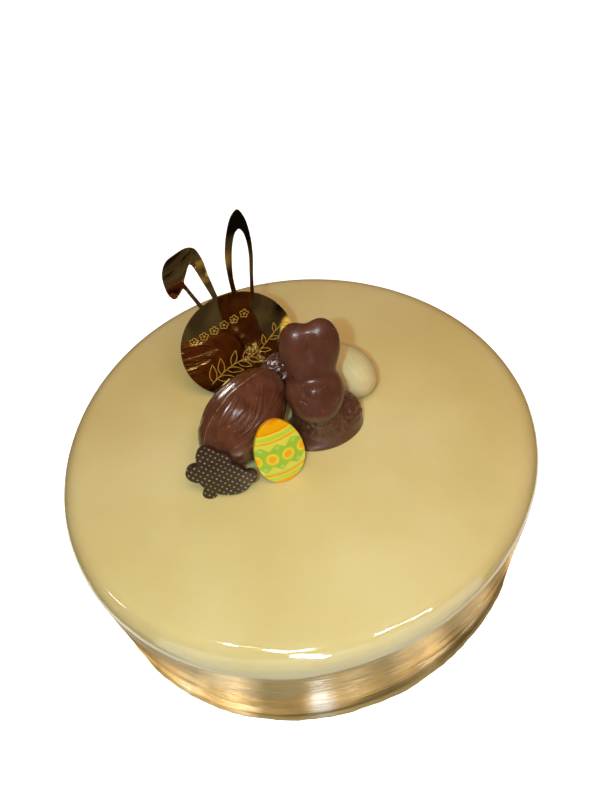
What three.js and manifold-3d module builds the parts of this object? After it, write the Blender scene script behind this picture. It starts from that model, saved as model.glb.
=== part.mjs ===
// A round mirror-glazed entremet with its spring decorations.
// Millimetres, +Z up. The origin is the centre of the cake's underside, and -Y is the front.

import * as THREE from 'three';
import * as BufferGeometryUtils from 'three/addons/utils/BufferGeometryUtils.js';
import Module from 'manifold-3d';

const wasm = await Module();
wasm.setup();

// ---- Driving dimensions ----------------------------------------------------------------------

// The cake: mousse set in an 18 cm ring, 6 cm high, with about 2 mm of glaze all round.
const CAKE_RADIUS = 92;
const CAKE_HEIGHT = 60;
const CAKE_EDGE_RADIUS = 8;
const CAKE_FOOT_LIP = 0.9;
const CAKE_FOOT_HEIGHT = 3;
const CAKE_FOOT_ROUND = 0.7;
const CAKE_SIDES = 80;
// The ring was a little out of round: an oval part and a three-sided part.
const CAKE_OVAL = { swing: 1.1, towards: 33 };
const CAKE_TRIANGLE = { swing: 0.8, towards: -5 };
// Places below are measured from the ring's centre, which stands here, so that the origin is the
// middle of the cake as it is.
const RING_CENTRE = { x: -0.79, y: -0.18 };

// Pieces that touch keep this gap.
const GAP = 0.3;
const GLAZE_TOP = CAKE_HEIGHT + GAP;

// The topper: one thin mirrored sheet, a disc with two ear loops, pushed into the glaze.
const TOPPER_DISC_RADIUS = 22.7;
const TOPPER_THICKNESS = 0.8;
const TOPPER_LEAN = 14.5;
const TOPPER_TURN = 14.4;
const TOPPER_FOOT = { x: -15.9, y: 21.4 };
const TOPPER_SUNK = 2.4;
// How far the flopped ear curls forwards, from this height over this reach, and along its tip.
const EAR_CURL = { forwards: 3.5, from: 23, reach: 20, tipFrom: 8 };
// The curl also carries the ear up and a little to the left, each as a share of its way forwards.
const EAR_CURL_RISE = 0.39;
const EAR_CURL_SIDEWAYS = -0.06;

// The moulded milk chocolate egg on its side.
const EGG_LENGTH = 41.6;
const EGG_WIDTH = 27.2;
const EGG_BLUNTNESS = -0.07;
const EGG_PLACE = { x: -17.5, y: -4.8, turn: 48, pitch: 15, roll: -38 };
const EGG_GROOVES = 12;
const EGG_GROOVE_DEPTH = 0.7;
const EGG_GROOVE_SWAY = 0.35;

// The white chocolate egg behind the bunny.
const WHITE_EGG_LENGTH = 27.9;
const WHITE_EGG_WIDTH = 18.8;
const WHITE_EGG_BLUNTNESS = 0.05;
const WHITE_EGG_PLACE = { x: 23.7, y: 16.1, turn: -59 };

// Each egg has settled into the glaze by this much.
const EGG_SUNK = 0.5;

// The bunny sits upright, facing the front.
const BUNNY_PLACE = { x: 9.5, y: -1 };

// The small crinkled chocolate egg behind the big one.
const SMALL_EGG_LENGTH = 18;
const SMALL_EGG_WIDTH = 17.2;
const SMALL_EGG_PLACE = { x: -0.7, y: 17.8, turn: 120 };
const SMALL_EGG_RIDGES = 7;
const SMALL_EGG_RIDGE_DEPTH = 0.45;

// The two flat plaques lean back on the egg.
const PRINTED_PLAQUE = {
  width: 18.4, height: 26.2, bluntness: 0.085, thickness: 2, x: -4.4, y: -25.8, lean: 22, turn: 18,
};
const PRINTED_PLAQUE_BEVEL = 0.4;
const DOTTED_PLAQUE = { thickness: 1.8, x: -33.7, y: -28.8, lean: 16, turn: -4 };

// ---- Helpers ---------------------------------------------------------------------------------

const radians = THREE.MathUtils.degToRad;

function weld(geometry) {
  geometry.deleteAttribute('normal');
  geometry.deleteAttribute('uv');
  return BufferGeometryUtils.mergeVertices(geometry, 1e-4);
}

function toSolid(geometry) {
  const welded = weld(geometry);
  return new wasm.Manifold(new wasm.Mesh({
    numProp: 3,
    vertProperties: new Float32Array(welded.attributes.position.array),
    triVerts: new Uint32Array(welded.index.array),
  }));
}

function toGeometry(manifold) {
  const mesh = manifold.getMesh();
  const geometry = new THREE.BufferGeometry();
  geometry.setAttribute('position', new THREE.BufferAttribute(mesh.vertProperties, 3));
  geometry.setIndex(new THREE.BufferAttribute(mesh.triVerts, 1));
  geometry.computeVertexNormals();
  return geometry;
}

function joined(geometries) {
  const solids = geometries.map(toSolid);
  return solids.reduce((whole, solid) => whole.add(solid));
}

// Everything below the glaze's top is cut off, so the piece stands on a small flat.
function standingOnGlaze(manifold) {
  const reach = 400;
  const below = new THREE.BoxGeometry(reach, reach, reach);
  below.translate(0, 0, GLAZE_TOP - reach / 2);
  return manifold.subtract(toSolid(below));
}

function named(name, geometry, material) {
  const mesh = new THREE.Mesh(geometry, material);
  mesh.name = name;
  return mesh;
}

// Turns a flat piece drawn in X and Y upright, facing the front, then leans it back and turns it.
function leaningMatrix({ x, y, z, lean, turn }) {
  const upright = new THREE.Euler(radians(90 - lean), 0, radians(turn), 'ZXY');
  const matrix = new THREE.Matrix4().makeRotationFromEuler(upright);
  return matrix.setPosition(x, y, z);
}

// ---- Cake ------------------------------------------------------------------------------------

function cakeWobble(angle) {
  return CAKE_OVAL.swing * Math.cos(2 * (angle - radians(CAKE_OVAL.towards)))
    + CAKE_TRIANGLE.swing * Math.cos(3 * (angle - radians(CAKE_TRIANGLE.towards)));
}

function cakeSolid() {
  const profile = [new THREE.Vector2(0, 0)];
  const foot = CAKE_RADIUS + CAKE_FOOT_LIP;
  profile.push(new THREE.Vector2(foot - CAKE_FOOT_ROUND, 0));
  profile.push(new THREE.Vector2(foot, CAKE_FOOT_ROUND));
  profile.push(new THREE.Vector2(CAKE_RADIUS, CAKE_FOOT_HEIGHT));
  const edgeSteps = 7;
  for (let step = 0; step <= edgeSteps; step += 1) {
    const around = (step / edgeSteps) * (Math.PI / 2);
    profile.push(new THREE.Vector2(
      CAKE_RADIUS - CAKE_EDGE_RADIUS * (1 - Math.cos(around)),
      CAKE_HEIGHT - CAKE_EDGE_RADIUS * (1 - Math.sin(around))));
  }
  profile.push(new THREE.Vector2(0, CAKE_HEIGHT));
  const geometry = new THREE.LatheGeometry(profile, CAKE_SIDES);
  geometry.rotateX(Math.PI / 2);
  const place = geometry.attributes.position;
  for (let index = 0; index < place.count; index += 1) {
    const x = place.getX(index);
    const y = place.getY(index);
    const radius = Math.hypot(x, y);
    const share = 1 + cakeWobble(Math.atan2(y, x)) * (radius / CAKE_RADIUS) / CAKE_RADIUS;
    place.setXY(index, x * share, y * share);
  }
  return toSolid(geometry);
}

// ---- Topper ----------------------------------------------------------------------------------

const TOPPER_CENTRE = (() => {
  const rise = new THREE.Vector3(0, TOPPER_DISC_RADIUS, 0);
  const foot = leaningMatrix({
    x: TOPPER_FOOT.x, y: TOPPER_FOOT.y, z: CAKE_HEIGHT - TOPPER_SUNK, lean: TOPPER_LEAN, turn: TOPPER_TURN,
  });
  return rise.applyMatrix4(foot);
})();

function topperMatrix() {
  return leaningMatrix({
    x: TOPPER_CENTRE.x, y: TOPPER_CENTRE.y, z: TOPPER_CENTRE.z, lean: TOPPER_LEAN, turn: TOPPER_TURN,
  });
}

// Each ear is a ribbon in the disc's plane, from its left foot round its tip to its right foot.
// Both edges have one point for each point of the other, and the feet end inside the disc.
const STRAIGHT_EAR = {
  outer: [[2.7, 18], [2.9, 29], [3.7, 36.6], [6.1, 44.4], [9.3, 50.2], [12, 51.9], [13.7, 49], [14.4, 42],
    [13.7, 34.5], [12.1, 27], [10.5, 18]],
  inner: [[4.6, 19.5], [4.6, 28], [6, 35.9], [7.6, 41], [9.4, 44.4], [10.9, 45.2], [12, 43.8], [12.6, 40.5],
    [12.4, 35], [11.2, 28.5], [9.4, 19.5]],
};
const FLOPPED_EAR = {
  outer: [[-9.6, 18], [-12.3, 25.6], [-14.3, 30], [-16, 27.9], [-18, 26.8], [-19.4, 28.4], [-20, 32.5],
    [-19.4, 37.2], [-17, 40.9], [-13, 42.7], [-9, 43.7], [-6.3, 42.8], [-4.6, 38.5], [-4, 32], [-3.2, 26],
    [-2.2, 18]],
  inner: [[-8.4, 19.5], [-11, 26], [-12.6, 30.4], [-12.9, 31.2], [-13, 31.7], [-12.9, 32.3], [-12.4, 33.4],
    [-11.6, 34.7], [-10.9, 35.9], [-10.2, 37], [-9.6, 37.7], [-9, 37.7], [-8.1, 35.6], [-6.8, 30.6],
    [-5.2, 24.5], [-4.2, 19.5]],
};
const EAR_STEPS_PER_POINT = 3;
const EAR_LANES = 3;

function earCurve(corners) {
  return new THREE.CatmullRomCurve3(corners.map(([x, y]) => new THREE.Vector3(x, y, 0)), false, 'centripetal');
}

function ribbonGeometry({ outer, inner }) {
  const steps = (outer.length - 1) * EAR_STEPS_PER_POINT;
  const outerCurve = earCurve(outer);
  const innerCurve = earCurve(inner);
  const points = [];
  for (const height of [TOPPER_THICKNESS / 2, -TOPPER_THICKNESS / 2]) {
    for (let step = 0; step <= steps; step += 1) {
      const start = outerCurve.getPoint(step / steps);
      const end = innerCurve.getPoint(step / steps);
      for (let lane = 0; lane <= EAR_LANES; lane += 1) {
        const point = start.clone().lerp(end, lane / EAR_LANES);
        points.push(point.setZ(height));
      }
    }
  }
  const corner = (face, step, lane) => (face * (steps + 1) + step) * (EAR_LANES + 1) + lane;
  const faces = [];
  const addQuad = (a, b, c, d) => faces.push(a, b, c, a, c, d);
  for (let step = 0; step < steps; step += 1) {
    for (let lane = 0; lane < EAR_LANES; lane += 1) {
      addQuad(corner(0, step, lane), corner(0, step, lane + 1), corner(0, step + 1, lane + 1),
        corner(0, step + 1, lane));
      addQuad(corner(1, step, lane), corner(1, step + 1, lane), corner(1, step + 1, lane + 1),
        corner(1, step, lane + 1));
    }
    addQuad(corner(0, step, 0), corner(0, step + 1, 0), corner(1, step + 1, 0), corner(1, step, 0));
    addQuad(corner(0, step, EAR_LANES), corner(1, step, EAR_LANES), corner(1, step + 1, EAR_LANES),
      corner(0, step + 1, EAR_LANES));
  }
  for (let lane = 0; lane < EAR_LANES; lane += 1) {
    addQuad(corner(0, 0, lane), corner(1, 0, lane), corner(1, 0, lane + 1), corner(0, 0, lane + 1));
    addQuad(corner(0, steps, lane), corner(0, steps, lane + 1), corner(1, steps, lane + 1),
      corner(1, steps, lane));
  }
  const geometry = new THREE.BufferGeometry().setFromPoints(points);
  geometry.setIndex(faces);
  return geometry;
}

function curled(geometry) {
  const place = geometry.attributes.position;
  const { forwards, from, reach, tipFrom } = EAR_CURL;
  for (let index = 0; index < place.count; index += 1) {
    const x = place.getX(index);
    const y = place.getY(index);
    const rise = THREE.MathUtils.clamp((y - from) / reach, 0, 1);
    const tip = THREE.MathUtils.clamp((-x - tipFrom) / reach, 0, 1);
    const share = THREE.MathUtils.smootherstep(rise + tip * Math.sqrt(rise), 0, 1.2);
    const forward = forwards * share;
    place.setXYZ(index, x + EAR_CURL_SIDEWAYS * forward, y + EAR_CURL_RISE * forward,
      place.getZ(index) + forward);
  }
  return geometry;
}

function topperDisc(radius, thickness) {
  const disc = new THREE.CylinderGeometry(radius, radius, thickness, 80);
  return disc.rotateX(Math.PI / 2);
}

function topperGeometry() {
  const sheet = joined([
    topperDisc(TOPPER_DISC_RADIUS, TOPPER_THICKNESS), ribbonGeometry(STRAIGHT_EAR),
    curled(ribbonGeometry(FLOPPED_EAR)),
  ]);
  return toGeometry(sheet).applyMatrix4(topperMatrix());
}

function topperSlot() {
  const disc = topperDisc(TOPPER_DISC_RADIUS + GAP, TOPPER_THICKNESS + 2 * GAP);
  return toSolid(disc.applyMatrix4(topperMatrix()));
}

// ---- Eggs ------------------------------------------------------------------------------------

// A closed body round the X axis; relief(along, around) is added to its radius.
function eggGeometry({ length, width, bluntness, rings, sides, relief }) {
  const geometry = new THREE.SphereGeometry(1, sides, rings);
  geometry.rotateZ(-Math.PI / 2);
  const place = geometry.attributes.position;
  for (let index = 0; index < place.count; index += 1) {
    const along = THREE.MathUtils.clamp(place.getX(index), -1, 1);
    const around = Math.atan2(place.getZ(index), place.getY(index));
    const ring = Math.sqrt(Math.max(0, 1 - along * along));
    const radius = (width / 2) * ring * (1 + bluntness * along) + relief(along, around) * Math.min(1, 2 * ring);
    place.setXYZ(index, (length / 2) * along, radius * Math.cos(around), radius * Math.sin(around));
  }
  return geometry;
}

// Grooves run from end to end with a gentle S, and leave a plain border along the mould's seam.
function eggRelief(along, around) {
  const sway = EGG_GROOVE_SWAY * Math.sin(2.6 * along);
  const groove = Math.pow(0.5 + 0.5 * Math.cos(EGG_GROOVES * (around + sway)), 3);
  const border = THREE.MathUtils.smoothstep(Math.abs(Math.sin(around)), 0.25, 0.5);
  return -EGG_GROOVE_DEPTH * groove * border;
}

// Turns an egg about its own length, raises its end, turns it about Z and settles it in the glaze.
function lyingEgg(geometry, { x, y, turn, pitch = 0, roll = 0 }) {
  geometry.rotateX(radians(roll));
  geometry.rotateY(radians(-pitch));
  geometry.rotateZ(radians(turn));
  geometry.computeBoundingBox();
  const lift = GLAZE_TOP - EGG_SUNK - geometry.boundingBox.min.z;
  return standingOnGlaze(toSolid(geometry.translate(x, y, lift)));
}

function milkEggGeometry() {
  const egg = eggGeometry({
    length: EGG_LENGTH, width: EGG_WIDTH, bluntness: EGG_BLUNTNESS, rings: 26, sides: 60, relief: eggRelief,
  });
  return toGeometry(lyingEgg(egg, EGG_PLACE));
}

function whiteEggGeometry() {
  const egg = eggGeometry({
    length: WHITE_EGG_LENGTH, width: WHITE_EGG_WIDTH, bluntness: WHITE_EGG_BLUNTNESS, rings: 18, sides: 32,
    relief: () => 0,
  });
  return toGeometry(lyingEgg(egg, WHITE_EGG_PLACE));
}

// Ridges wander across the small egg.
function smallEggRelief(along, around) {
  const wander = 0.5 * Math.sin(3 * around) + 0.3 * Math.sin(5 * around + 1);
  return SMALL_EGG_RIDGE_DEPTH * Math.cos(SMALL_EGG_RIDGES * (along + 0.25 * wander) * 2);
}

function smallEggGeometry() {
  const egg = eggGeometry({
    length: SMALL_EGG_LENGTH, width: SMALL_EGG_WIDTH, bluntness: 0, rings: 18, sides: 30, relief: smallEggRelief,
  });
  return toGeometry(lyingEgg(egg, SMALL_EGG_PLACE));
}

// ---- Bunny -----------------------------------------------------------------------------------

// Each form is an ellipsoid, its centre measured from BUNNY_PLACE and the glaze. They melt together.
const BUNNY_FORMS = [
  { at: [1.8, -2.2, -0.5], size: [15.9, 11.1, 8.4], turn: 14 },
  { at: [0.5, -1.5, 11], size: [10, 10.5, 13] },
  { at: [7.6, -1.6, 6.6], size: [9.2, 8, 8.8] },
  { at: [-1, -5.2, 24.5], size: [10.4, 9.8, 9] },
  { at: [-1, -11.3, 22.6], size: [6.4, 5, 4.4] },
  { at: [-0.6, -2.2, 33], size: [7.6, 5, 8] },
  { at: [-0.6, 1, 42], size: [6, 3.6, 6] },
  { at: [-5, 1, 41.2], size: [5.4, 4.6, 9.2], tilt: -14 },
  { at: [3.8, 1, 41.6], size: [6, 4.8, 9.4], tilt: -14 },
];
const BUNNY_BLEND = 1.1;
// The skin is cast outwards from this spine, and above its last point upwards as well.
const BUNNY_SPINE = [[0.5, -1.5, -1], [0.3, -1.8, 12], [-0.8, -4.4, 22], [-0.7, -3, 32], [-0.6, 0.4, 41]];
const BUNNY_SIDES = 44;
const BUNNY_RINGS = 26;
const BUNNY_CAP_RINGS = 10;

function distanceToForm(point, { at, size, tilt = 0, turn = 0 }) {
  const local = new THREE.Vector3(point.x - at[0], point.y - at[1], point.z - at[2]);
  local.applyAxisAngle(new THREE.Vector3(0, 0, 1), radians(-turn));
  local.applyAxisAngle(new THREE.Vector3(1, 0, 0), radians(-tilt));
  const scaled = Math.hypot(local.x / size[0], local.y / size[1], local.z / size[2]);
  return (scaled - 1) * Math.min(...size);
}

function distanceToBunny(point) {
  const sum = BUNNY_FORMS.reduce(
    (total, form) => total + Math.exp(-distanceToForm(point, form) / BUNNY_BLEND), 0);
  return -BUNNY_BLEND * Math.log(sum);
}

// Walks outwards from inside the bunny until the distance changes sign, then halves the step.
function skinPoint(start, direction) {
  let reach = 0;
  let step = 1;
  while (step > 0.005) {
    const next = start.clone().addScaledVector(direction, reach + step);
    if (distanceToBunny(next) < 0) {
      reach += step;
    } else {
      step /= 2;
    }
  }
  return start.clone().addScaledVector(direction, reach);
}

function bunnySkin() {
  const spine = new THREE.CatmullRomCurve3(BUNNY_SPINE.map((point) => new THREE.Vector3(...point)));
  const rows = [];
  for (let ring = 0; ring < BUNNY_RINGS + BUNNY_CAP_RINGS; ring += 1) {
    const onSpine = Math.min(1, ring / BUNNY_RINGS);
    const upwards = Math.max(0, ring - BUNNY_RINGS) / BUNNY_CAP_RINGS * (Math.PI / 2);
    const start = spine.getPoint(onSpine);
    rows.push(Array.from({ length: BUNNY_SIDES }, (_, side) => {
      const around = (side / BUNNY_SIDES) * 2 * Math.PI;
      const flat = Math.cos(upwards);
      const direction = new THREE.Vector3(
        flat * Math.cos(around), flat * Math.sin(around), Math.sin(upwards));
      return skinPoint(start, direction);
    }));
  }
  const bottom = spine.getPoint(0);
  const top = skinPoint(spine.getPoint(1), new THREE.Vector3(0, 0, 1));
  return closedRows(rows, bottom, top);
}

// Rows of points round Z become one closed body, with a point below and a point above.
function closedRows(rows, bottom, top) {
  const sides = rows[0].length;
  const points = [bottom, ...rows.flat(), top];
  const corner = (row, side) => 1 + row * sides + (side % sides);
  const faces = [];
  for (let side = 0; side < sides; side += 1) {
    faces.push(0, corner(0, side + 1), corner(0, side));
    for (let row = 0; row < rows.length - 1; row += 1) {
      faces.push(corner(row, side), corner(row, side + 1), corner(row + 1, side + 1));
      faces.push(corner(row, side), corner(row + 1, side + 1), corner(row + 1, side));
    }
    faces.push(points.length - 1, corner(rows.length - 1, side), corner(rows.length - 1, side + 1));
  }
  const geometry = new THREE.BufferGeometry().setFromPoints(points);
  geometry.setIndex(faces);
  return geometry;
}

function bunnyGeometry() {
  const skin = bunnySkin().translate(BUNNY_PLACE.x, BUNNY_PLACE.y, CAKE_HEIGHT);
  return toGeometry(standingOnGlaze(toSolid(skin)));
}

// ---- Plaques ---------------------------------------------------------------------------------

function printedPlaqueGeometry() {
  const { width, height, bluntness, thickness, x, y, lean, turn } = PRINTED_PLAQUE;
  const bevel = PRINTED_PLAQUE_BEVEL;
  const outline = [];
  const steps = 48;
  for (let step = 0; step < steps; step += 1) {
    const around = (step / steps) * 2 * Math.PI;
    const half = (width / 2 - bevel) * (1 - bluntness * Math.cos(around));
    outline.push(new THREE.Vector2(half * Math.sin(around), (height / 2 - bevel) * Math.cos(around)));
  }
  const geometry = new THREE.ExtrudeGeometry(new THREE.Shape(outline), {
    depth: thickness - 2 * bevel, bevelEnabled: true, bevelThickness: bevel, bevelSize: bevel, bevelSegments: 2,
  });
  geometry.translate(0, height / 2, bevel - thickness);
  geometry.applyMatrix4(leaningMatrix({ x, y, z: CAKE_HEIGHT, lean, turn }));
  return toGeometry(standingOnGlaze(toSolid(geometry)));
}

// A seated animal seen from the side, as rounds that overlap: centre, half sizes, turn.
const ANIMAL_ROUNDS = [
  [6.8, 8.9, 9.4, 7.5, -20],
  [2.7, 18.3, 4, 5.1, 0],
  [7.1, 16.9, 3.6, 3.7, -40],
  [-2.1, 11.9, 4, 4, 0],
  [0.9, 2.4, 2.7, 2.5, 20],
  [16.3, 8.9, 2.4, 2.8, 0],
];

function dottedPlaqueGeometry() {
  const { thickness, x, y, lean, turn } = DOTTED_PLAQUE;
  const rounds = ANIMAL_ROUNDS.map(([cx, cy, halfWidth, halfHeight, spin]) => {
    const round = new THREE.CylinderGeometry(1, 1, thickness, 36);
    round.rotateX(Math.PI / 2);
    round.scale(halfWidth, halfHeight, 1);
    round.rotateZ(radians(spin));
    return round.translate(cx, cy, -thickness / 2);
  });
  const flat = toGeometry(joined(rounds));
  flat.applyMatrix4(leaningMatrix({ x, y, z: CAKE_HEIGHT, lean, turn }));
  return toGeometry(standingOnGlaze(toSolid(flat)));
}

// ---- Materials and the whole cake ------------------------------------------------------------

const yellowGlaze = new THREE.MeshStandardMaterial({ color: 0xdccd92, roughness: 0.12, metalness: 0 });
const goldMirror = new THREE.MeshStandardMaterial({ color: 0xd9a93a, roughness: 0.05, metalness: 1 });
const milkChocolate = new THREE.MeshStandardMaterial({ color: 0x5b3524, roughness: 0.3, metalness: 0 });
const redMilkChocolate = new THREE.MeshStandardMaterial({ color: 0x5d3a2f, roughness: 0.35, metalness: 0 });
const whiteChocolate = new THREE.MeshStandardMaterial({ color: 0xe6ddb4, roughness: 0.45, metalness: 0 });
const printedChocolate = new THREE.MeshStandardMaterial({ color: 0xd9c936, roughness: 0.4, metalness: 0 });
const darkChocolate = new THREE.MeshStandardMaterial({ color: 0x35221f, roughness: 0.35, metalness: 0 });

const entremet = new THREE.Group();
entremet.add(
  named('cake', toGeometry(cakeSolid().subtract(topperSlot())), yellowGlaze),
  named('ear_topper', topperGeometry(), goldMirror),
  named('milk_chocolate_egg', milkEggGeometry(), milkChocolate),
  named('chocolate_bunny', bunnyGeometry(), redMilkChocolate),
  named('small_chocolate_egg', smallEggGeometry(), milkChocolate),
  named('white_chocolate_egg', whiteEggGeometry(), whiteChocolate),
  named('printed_egg_plaque', printedPlaqueGeometry(), printedChocolate),
  named('dotted_animal_plaque', dottedPlaqueGeometry(), darkChocolate),
);

entremet.position.set(RING_CENTRE.x, RING_CENTRE.y, 0);

export default entremet;
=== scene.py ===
"""The looks of a round mirror-glazed entremet and its spring decorations, laid out as an add-on.

Blender's units are metres. A size in a formula is a real size in millimetres times MM.
+Z is up, -Y is the front, and the origin is the middle of the cake's underside.
"""

import math
from contextlib import contextmanager
from functools import partial

import bpy
import numpy as np
from bpy.props import FloatProperty, FloatVectorProperty, PointerProperty
from mathutils import Euler, Matrix, Vector, noise


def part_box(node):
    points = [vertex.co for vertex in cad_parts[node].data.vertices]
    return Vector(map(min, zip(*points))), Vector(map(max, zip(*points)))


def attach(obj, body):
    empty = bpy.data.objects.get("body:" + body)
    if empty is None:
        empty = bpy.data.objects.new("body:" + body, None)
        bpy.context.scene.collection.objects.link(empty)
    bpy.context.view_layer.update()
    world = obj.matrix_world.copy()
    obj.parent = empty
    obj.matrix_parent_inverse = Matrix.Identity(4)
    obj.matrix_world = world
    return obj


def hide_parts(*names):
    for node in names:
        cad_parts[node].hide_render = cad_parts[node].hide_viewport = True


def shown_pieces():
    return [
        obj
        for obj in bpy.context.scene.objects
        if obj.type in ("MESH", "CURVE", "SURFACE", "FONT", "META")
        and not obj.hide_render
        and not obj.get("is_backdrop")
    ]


bl_info = {
    "name": "Glazed Entremet",
    "version": (1, 0, 0),
    "blender": (4, 5, 0),
    "location": "View3D > Sidebar > Entremet",
    "description": "Models a mirror-glazed entremet with its chocolate spring decorations",
    "category": "Add Mesh",
}

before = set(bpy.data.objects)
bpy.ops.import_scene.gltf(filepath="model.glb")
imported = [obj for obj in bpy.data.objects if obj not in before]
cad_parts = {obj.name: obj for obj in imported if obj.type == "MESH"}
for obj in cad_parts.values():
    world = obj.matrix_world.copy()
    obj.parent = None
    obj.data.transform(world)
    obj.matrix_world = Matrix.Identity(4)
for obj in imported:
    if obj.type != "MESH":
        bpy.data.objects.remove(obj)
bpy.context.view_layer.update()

MM = 0.001
BODY = "root"

# The ring that the cake was set in was a little out of round, and stands here.
RING_CENTRE = Vector((-0.79, -0.18, 0)) * MM
CAKE_OVAL = {"swing": 1.1 * MM, "towards": math.radians(33)}
CAKE_TRIANGLE = {"swing": 0.8 * MM, "towards": math.radians(-5)}
CAKE_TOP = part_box("cake")[1].z
# Decorations are pressed into the soft glaze by this much.
SUNK = 0.3 * MM

# Where the flat pieces stand on the glaze, from the ring's centre.
TOPPER_FOOT = Vector((-15.9, 21.4, 57.6)) * MM + RING_CENTRE
PRINTED_PLAQUE_FOOT = Vector((-4.4, -25.8, 60)) * MM + RING_CENTRE
DOTTED_PLAQUE_FOOT = Vector((-33.7, -28.8, 60)) * MM + RING_CENTRE
BUNNY_PLACE = Vector((9.5, -1, 60)) * MM + RING_CENTRE

# The eggs' places from the ring's centre, with their turn, pitch and roll in degrees.
MILK_EGG_PLACE = {"x": -17.5, "y": -4.8, "turn": 48, "pitch": 15, "roll": -38}
WHITE_EGG_PLACE = {"x": 23.7, "y": 16.1, "turn": -59, "pitch": 0, "roll": 0}
SMALL_EGG_PLACE = {"x": -1.5, "y": 17.6, "turn": 120, "pitch": 0, "roll": 0}


# ---- Colours and nodes -----------------------------------------------------------------------


def linear(hex_colour):
    """An sRGB hex colour as the linear values that shaders use."""
    shares = [int(hex_colour[i : i + 2], 16) / 255 for i in (1, 3, 5)]
    values = [s / 12.92 if s <= 0.04045 else ((s + 0.055) / 1.055) ** 2.4 for s in shares]
    return (*values, 1.0)


def shaded(colour, factor, lift=0.0):
    """A linear colour with its channels made darker or paler."""
    return (*(min(1, channel * factor + lift) for channel in colour[:3]), 1.0)


def grey(value):
    return (value, value, value, 1.0)


def set_input(node, name, value):
    """Gives a node's input a value, or links it from a socket or a node's first output in use."""
    if isinstance(value, bpy.types.Node):
        value = next(socket for socket in value.outputs if socket.enabled)
    if isinstance(value, bpy.types.NodeSocket):
        node.id_data.links.new(value, node.inputs[name])
    else:
        node.inputs[name].default_value = value


def add_node(tree, kind, inputs=None, **settings):
    """Adds a shader node with its settings, and with values, sockets or nodes for its inputs."""
    node = tree.nodes.new("ShaderNode" + kind)
    for name, value in settings.items():
        setattr(node, name, value)
    for name, value in (inputs or {}).items():
        set_input(node, name, value)
    return node


def set_stops(ramp_node, *stops, interpolation="LINEAR"):
    """Gives a colour ramp its stops, as pairs of a position and a linear colour."""
    ramp = ramp_node.color_ramp
    ramp.interpolation = interpolation
    while len(ramp.elements) > 1:
        ramp.elements.remove(ramp.elements[-1])
    for index, (position, colour) in enumerate(stops):
        element = ramp.elements[0] if index == 0 else ramp.elements.new(position)
        element.position = position
        element.color = colour
    return ramp_node


def new_material(name):
    """A material, its Principled shader, and the function that adds nodes to it."""
    material = bpy.data.materials.new(name)
    material.use_nodes = True
    return material, material.node_tree.nodes["Principled BSDF"], partial(add_node, material.node_tree)


def set_shader(shader, **values):
    """Gives the Principled shader values or nodes. An underscore in a name stands for a space."""
    for name, value in values.items():
        set_input(shader, name.replace("_", " "), value)


def glow_material(name, glow):
    """A material that only shines: glow adds its nodes, and returns its colour and strength."""
    material = bpy.data.materials.new(name)
    material.use_nodes = True
    material.node_tree.nodes.clear()
    add = partial(add_node, material.node_tree)
    colour, strength = glow(add)
    emission = add("Emission", {"Color": colour, "Strength": strength})
    add("OutputMaterial", {"Surface": emission}, is_active_output=True)
    return material


def piece_coordinates(add, place=Matrix()):
    """Object coordinates in millimetres, turned back into the piece's own drawing by its place."""
    inputs = {
        "Vector": add("TexCoord").outputs["Object"], "Location": place.to_translation(),
        "Rotation": place.to_euler("XYZ"), "Scale": (MM, MM, MM),
    }
    return add("Mapping", inputs, vector_type="TEXTURE")


# A map range's inputs that make it fall from one to nought.
FALLING = {"To Min": 1.0, "To Max": 0.0}


def repeated_offset(add, value, pitch, first):
    """The distance from value to the nearest place of a row that repeats at that pitch."""
    shifted = add("Math", {0: value, 1: first - pitch / 2}, operation="SUBTRACT")
    wrapped = add("Math", {0: shifted, 1: pitch, 2: 0.0}, operation="WRAP")
    return add("Math", {0: wrapped, 1: pitch / 2}, operation="SUBTRACT")


def dot_mask(add, across, up, height, radius, edge):
    """One inside a round dot at that height and nought outside it, with an edge that wide."""
    lifted = add("Math", {0: up, 1: height}, operation="SUBTRACT")
    from_middle = add("CombineXYZ", {"X": across, "Y": lifted})
    length = add("VectorMath", {0: from_middle}, operation="LENGTH")
    low, high = radius - edge, radius + edge
    return add("MapRange", {"Value": length, "From Min": low, "From Max": high, **FALLING})


def spot_mask(add, x, y, across, up, radius, softness):
    """One inside a round spot and nought outside it."""
    beside = add("Math", {0: x, 1: across}, operation="SUBTRACT")
    return dot_mask(add, beside, y, up, radius, softness)


# ---- Kinds of settings -----------------------------------------------------------------------


def length_setting(name, description, millimetres):
    return FloatProperty(name=name, description=description, default=millimetres * MM, unit="LENGTH")


def angle_setting(name, description, degrees):
    turn = math.radians(degrees)
    return FloatProperty(name=name, description=description, default=turn, subtype="ANGLE")


def power_setting(name, description, watts):
    return FloatProperty(name=name, description=description, default=watts, unit="POWER")


def colour_setting(name, description, hex_colour):
    return FloatVectorProperty(
        name=name, description=description, default=linear(hex_colour), subtype="COLOR", size=4
    )


# ---- Modelling helpers -----------------------------------------------------------------------


def start_piece():
    bpy.ops.object.select_all(action="DESELECT")


@contextmanager
def edit_mode(piece, select_mode="VERT"):
    """Works on one piece in edit mode, and leaves it in object mode."""
    start_piece()
    bpy.context.view_layer.objects.active = piece
    piece.select_set(True)
    bpy.ops.object.mode_set(mode="EDIT")
    bpy.ops.mesh.select_mode(type=select_mode)
    yield
    bpy.ops.object.mode_set(mode="OBJECT")


def get_points(piece):
    values = np.empty(len(piece.data.vertices) * 3)
    piece.data.vertices.foreach_get("co", values)
    return values.reshape(-1, 3)


def set_points(piece, points):
    piece.data.vertices.foreach_set("co", np.asarray(points, float).ravel())
    piece.data.update()


def get_normals(piece):
    values = np.empty(len(piece.data.vertices) * 3)
    piece.data.vertex_normals.foreach_get("vector", values)
    return values.reshape(-1, 3)


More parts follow.
